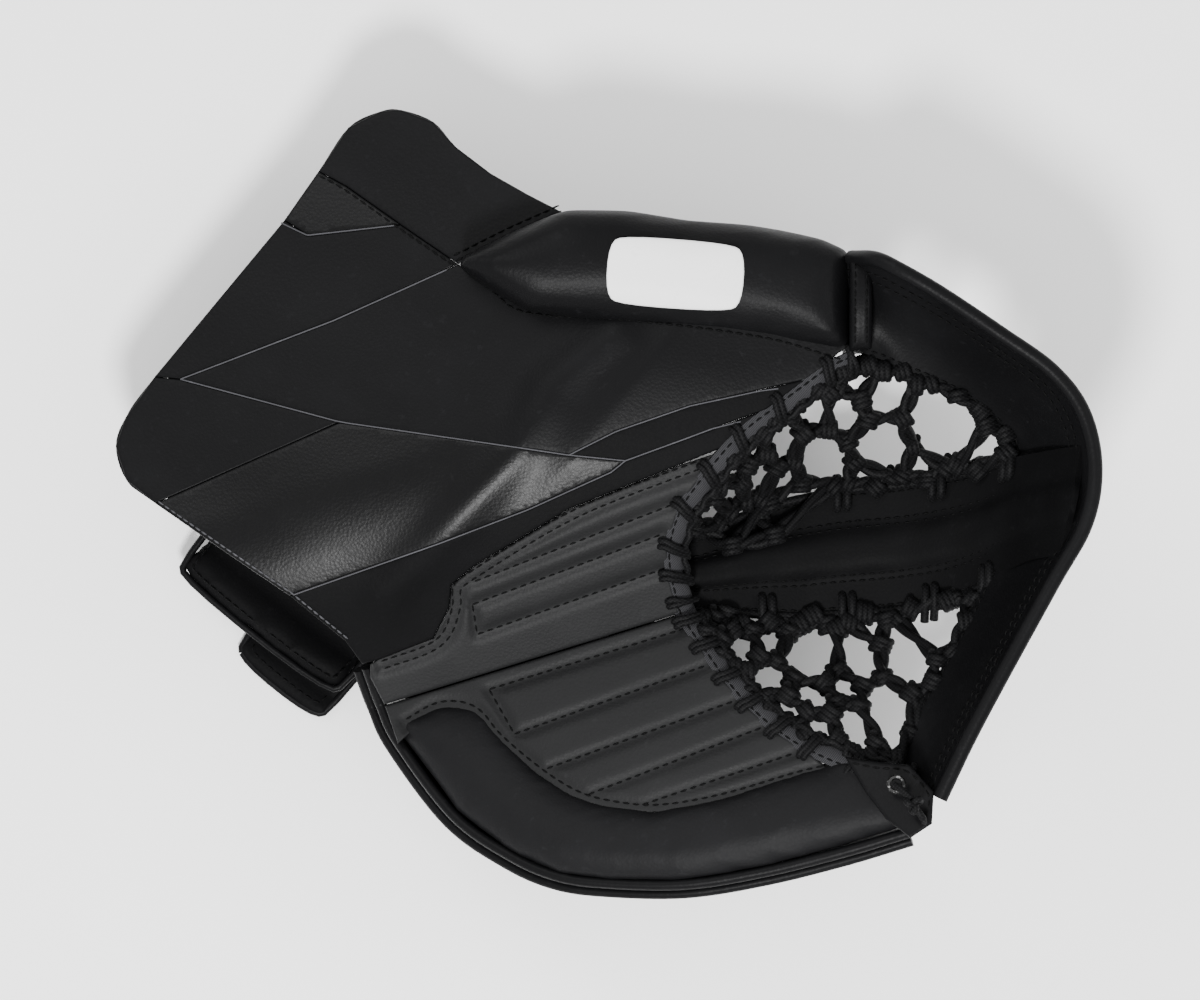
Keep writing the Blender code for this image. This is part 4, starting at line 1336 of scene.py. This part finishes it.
class Net:
    """Laces that run round the open holes: a knot amid every three holes, and strands between knots."""

    def __init__(self, holes, palm, stem, band, seed):
        self.random = np.random.default_rng(seed)
        self.border = np.vstack([palm, stem, band])
        centres = np.array([hole[:2] for hole in holes])
        self.radii = np.array([hole[2] for hole in holes])
        edges = ((palm, 13), (stem, 8), (band, 7))
        anchors = np.vstack([evenly(edge, number)[:, :2] for edge, number in edges])
        far = anchors[[np.min(np.linalg.norm(centres - anchor, axis=1)) > 4.5 for anchor in anchors]]
        self.points = np.vstack([centres, far])
        self.open = np.concatenate([self.radii, np.zeros(len(far))])
        self.holes = len(centres)
        self.links()

    def height(self, places):
        """Between the borders' heights, by how near each is."""
        gaps = np.linalg.norm(places[:, None, :2] - self.border[None, :, :2], axis=2)
        weights = 1.0 / (0.5 + gaps) ** 3
        return (weights * self.border[None, :, 2]).sum(axis=1) / weights.sum(axis=1)

    def links(self):
        faces = delaunay_2d_cdt([Vector(point) for point in self.points], [], [], 0, 0.001)[2]
        self.middles, shared = [], {}
        for face in faces:
            if min(face) >= self.holes:
                continue
            number = len(self.middles)
            weight = 1.0 / (2.0 + self.open[face])
            self.middles.append((self.points[face] * weight[:, None]).sum(axis=0) / weight.sum())
            for a, b in zip(face, face[1:] + face[:1]):
                shared.setdefault(tuple(sorted((a, b))), []).append(number)
        self.middles = np.array(self.middles)
        self.pairs = [(pair[0], pair[1]) for pair in shared.values() if len(pair) == 2]
        self.ends = [(pair[0], edge) for edge, pair in shared.items() if len(pair) == 1]
        self.lifts = self.random.uniform(-0.6, 1.2, len(self.middles))

    def knot_places(self):
        return np.column_stack([self.middles, self.height(self.middles) + self.lifts])

    def strands(self):
        """Each strand is a doubled lace, loosely twisted."""
        places = self.knot_places()
        paths = []
        for a, b in self.pairs:
            paths += self.double(places[a], places[b])
        for a, edge in self.ends:
            middle = self.points[list(edge)].mean(axis=0)
            gap = np.linalg.norm(self.border[:, :2] - middle, axis=1)
            paths += self.double(places[a], self.border[int(np.argmin(gap))])
        return paths

    def double(self, a, b):
        t = np.linspace(0.0, 1.0, 11)[:, None]
        straight = a * (1 - t) + b * t
        run = b - a
        across = np.array([run[1], -run[0], 0.0])
        across /= max(np.linalg.norm(across), 1e-6)
        turn = self.random.uniform(0.0, 2 * math.pi)
        twist = turn + math.pi * 1.2 * t[:, 0]
        bow = 0.8 * np.sin(np.pi * t) * self.random.uniform(-1.0, 1.0)
        paths = []
        for side in (1.0, -1.0):
            wound = across * (1.75 * side * np.cos(twist))[:, None] + across * bow
            wound[:, 2] += 1.35 * side * np.sin(twist)
            paths.append(straight + wound)
        return paths

    def knots(self):
        """Two or three turns of lace round the crossing."""
        paths = []
        for place in self.knot_places():
            turns = self.random.choice([2.0, 2.5, 3.0])
            t = np.linspace(0.0, 2 * math.pi * turns, int(14 * turns))
            heading = self.random.uniform(0.0, math.pi)
            axis = np.array([math.cos(heading), math.sin(heading), 0.0])
            side = np.array([-axis[1], axis[0], 0.0])
            radius = self.random.uniform(3.0, 3.6)
            run = np.linspace(-2.2, 2.2, len(t)) * turns / 2.0
            coil = place + axis * run[:, None] + side * (radius * np.cos(t))[:, None]
            coil[:, 2] += radius * 0.85 * np.sin(t)
            paths.append(coil)
        return paths


class GLOVE_OT_wrist(Operator):
    """Back-of-wrist flap and closing strap, each with a row of stitches and a bead round its edge"""

    bl_idname = "glove.wrist"
    bl_label = "Wrist"

    def execute(self, context):
        pads = (
            ("wrist_flap", "wrist_flap_cushion", "wrist_flap", 19.6, 10.6, 4.5, 0.7),
            ("wrist_strap", "wrist_strap_leather", "wrist_strap", 5.0, 0.3, 2.0, 0.5),
        )
        for node, name, body, top, bottom, edge, fill in pads:
            outline = rounded(grown(top_outline(node), 1.0))
            shaped = self.hollowed(top) if node == "wrist_flap" else self.ribbed(top)
            # The flap and the strap, smooth leather, are drawn in the darker matte leather: a painted shade
            # for the shadow they lie in under the cuff.
            piece = draped(name, outline, shaped, flat_at(bottom), "matte", body, 3.0, edge)
            if node == "wrist_flap":
                inflated(piece, 4.0, 0.8)
            made_of(piece, "smooth_leather", node, fill=fill)
            ring = closed_ring(rounded(grown(top_outline(node), -4.0)))
            sewn(node + "_stitching", stitch_row(ring, shaped), body)
            rim = at_level(closed_ring(outline), (top + bottom) / 2)
            bead = threads(node + "_bead", [rim], CORD_RADIUS_WRIST, "smooth", body)
            made_of(bead, "smooth_leather")
        return {"FINISHED"}

    def hollowed(self, top):
        """The flap's top: a raised outer roll, and lower where it runs in under the cuff."""
        def height(points):
            inward = np.clip((across_forearm(points) + 133.0) / 13.0, 0.0, 1.0)
            return top + 0.4 - 5.6 * inward * inward * (3.0 - 2.0 * inward)
        return height

    def ribbed(self, top):
        """The strap's top: two raised edges with a channel between them."""
        def height(points):
            return top - 0.9 + 1.2 * np.cos((across_forearm(points) + 149.0) / 2.9)
        return height


class GLOVE_OT_inside(Operator):
    """Foam board, knitted linings and stalls, hook and loop patches, and the wall that carries the flap"""

    bl_idname = "glove.inside"
    bl_label = "Inside"

    def execute(self, context):
        self.board()
        for node in ("cuff_lining", "heel_lining"):
            self.knit(node, "thumb_side", 1.5)
        self.knit("palm_liner", "finger_side", 1.0)
        self.knit("thumb_stall", "thumb_side", 0.8)
        for finger in ("little", "ring", "middle", "index"):
            self.knit(f"{finger}_finger_stall", "finger_side", 0.8)
        for node, body, top in (("hook_patch", "wrist_strap", 7.4), ("loop_patch", "wrist_flap", 9.7)):
            outline = rounded(top_outline(node))
            tape = draped(node + "_tape", outline, flat_at(top), flat_at(top - 1.4), "hook", body, 5.0, 0.4)
            made_of(tape, "woven_tape", node)
        self.flap_wall()
        return {"FINISHED"}

    def board(self):
        outline = top_outline("cuff_board")
        piece = draped("cuff_board_foam", outline, layer_at(BOARD_TOP), layer_at(BOARD_FOOT), "foam",
                       "thumb_side", 6.0, 1.2)
        made_of(piece, "foam_core", "cuff_board")

    def knit(self, node, body, voxel):
        """A lining or stall of foam-backed knit: the part's shape, its edges worn and its cloth rumpled."""
        piece = show(node + "_knit", frame["nodes"][node].data.copy(), "textile", None)
        remeshed(piece, voxel)
        worn = piece.modifiers.new("Worn", "SMOOTH")
        worn.iterations = 3
        settled(piece)
        for vert in piece.data.vertices:
            x, y = vert.co.x / MM, vert.co.y / MM
            vert.co.z += 0.4 * MM * math.sin(x / 3.1 + 0.2 * y) * math.cos(y / 6.0)
        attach(piece, body)
        made_of(piece, "lining_textile", node, fill=0.4)

    def flap_wall(self):
        foot = evenly(FLAP_WALL_FOOT, 60)

        def crumple(along, share):
            return np.array([0.6, 0.8, 0.0]) * math.sin(along * 23.0) * math.sin(math.pi * share)

        upper = on_surface(foot, layer_at(26.0))
        piece = sheet_between("wrist_gusset_leather", at_level(foot, 12), upper, 16, FLAP_WALL_THICKNESS,
                              "smooth", "thumb_side", crumple)
        made_of(piece, "smooth_leather", "wrist_gusset")


class GLOVE_OT_stage(Operator):
    """Pale floor, soft lights and the camera straight above"""

    bl_idname = "glove.stage"
    bl_label = "Stage"

    def execute(self, context):
        self.floor()
        self.lights()
        self.camera()
        return {"FINISHED"}

    def floor(self):
        bm = bmesh.new()
        bmesh.ops.create_grid(bm, x_segments=1, y_segments=1, size=3.0)
        for vert in bm.verts:
            vert.co.z = -0.0005
        mesh = bpy.data.meshes.new("floor")
        bm.to_mesh(mesh)
        bm.free()
        look = Look("pale_floor", (0.95, 0.95, 0.95), 0.95, Specular_IOR_Level=0.1)
        mesh.materials.append(look.material)
        floor = bpy.data.objects.new("floor", mesh)
        bpy.context.scene.collection.objects.link(floor)

    def lights(self):
        world_light = bpy.data.worlds.new("studio")
        world_light.use_nodes = True
        background = world_light.node_tree.nodes["Background"]
        background.inputs["Color"].default_value = (1.0, 1.0, 1.0, 1.0)
        background.inputs["Strength"].default_value = STUDIO_STRENGTH
        bpy.context.scene.world = world_light
        for name, place, size, power in LAMPS:
            light = bpy.data.lights.new(name, "AREA")
            light.shape = "DISK"
            light.size = size
            light.energy = power
            lamp = bpy.data.objects.new(name, light)
            lamp.location = place
            lamp.rotation_euler = (Vector((0, 0, 0.08)) - Vector(place)).to_track_quat("-Z", "Y").to_euler()
            bpy.context.scene.collection.objects.link(lamp)

    def camera(self):
        """A long lens high above the palm."""
        distance, level, width, sensor = 3.0, 0.09, 0.516, 36.0
        data = bpy.data.cameras.new("overhead")
        data.sensor_width = sensor
        data.lens = sensor * (distance - level) / width
        camera = bpy.data.objects.new("overhead", data)
        camera.location = (-0.0005, 0.0015, distance)
        bpy.context.scene.collection.objects.link(camera)
        bpy.context.scene.camera = camera


class GLOVE_PT_pieces(Panel):
    """Lists the glove's pieces in the sidebar"""

    bl_label = "Goalie catch glove"
    bl_idname = "GLOVE_PT_pieces"
    bl_space_type = "VIEW_3D"
    bl_region_type = "UI"
    bl_category = "Glove"

    def draw(self, context):
        for maker in MAKERS:
            self.layout.operator(maker.bl_idname)


MAKERS = (GLOVE_OT_cuff, GLOVE_OT_thumb, GLOVE_OT_palm, GLOVE_OT_laced_edges, GLOVE_OT_finger_side,
          GLOVE_OT_fingertip, GLOVE_OT_band, GLOVE_OT_stem, GLOVE_OT_nets, GLOVE_OT_wrist, GLOVE_OT_inside,
          GLOVE_OT_stage)
CLASSES = (GloveSizes, GloveColours, *MAKERS, GLOVE_PT_pieces)


def register():
    for cls in CLASSES:
        bpy.utils.register_class(cls)
    bpy.types.Scene.glove_sizes = PointerProperty(type=GloveSizes)
    bpy.types.Scene.glove_colours = PointerProperty(type=GloveColours)


def unregister():
    del bpy.types.Scene.glove_colours
    del bpy.types.Scene.glove_sizes
    for cls in reversed(CLASSES):
        bpy.utils.unregister_class(cls)


def main():
    register()
    LOOKS.update(make_looks())
    for maker in MAKERS:
        group, name = maker.bl_idname.split(".")
        getattr(getattr(bpy.ops, group), name)()


if __name__ == "__main__":
    main()
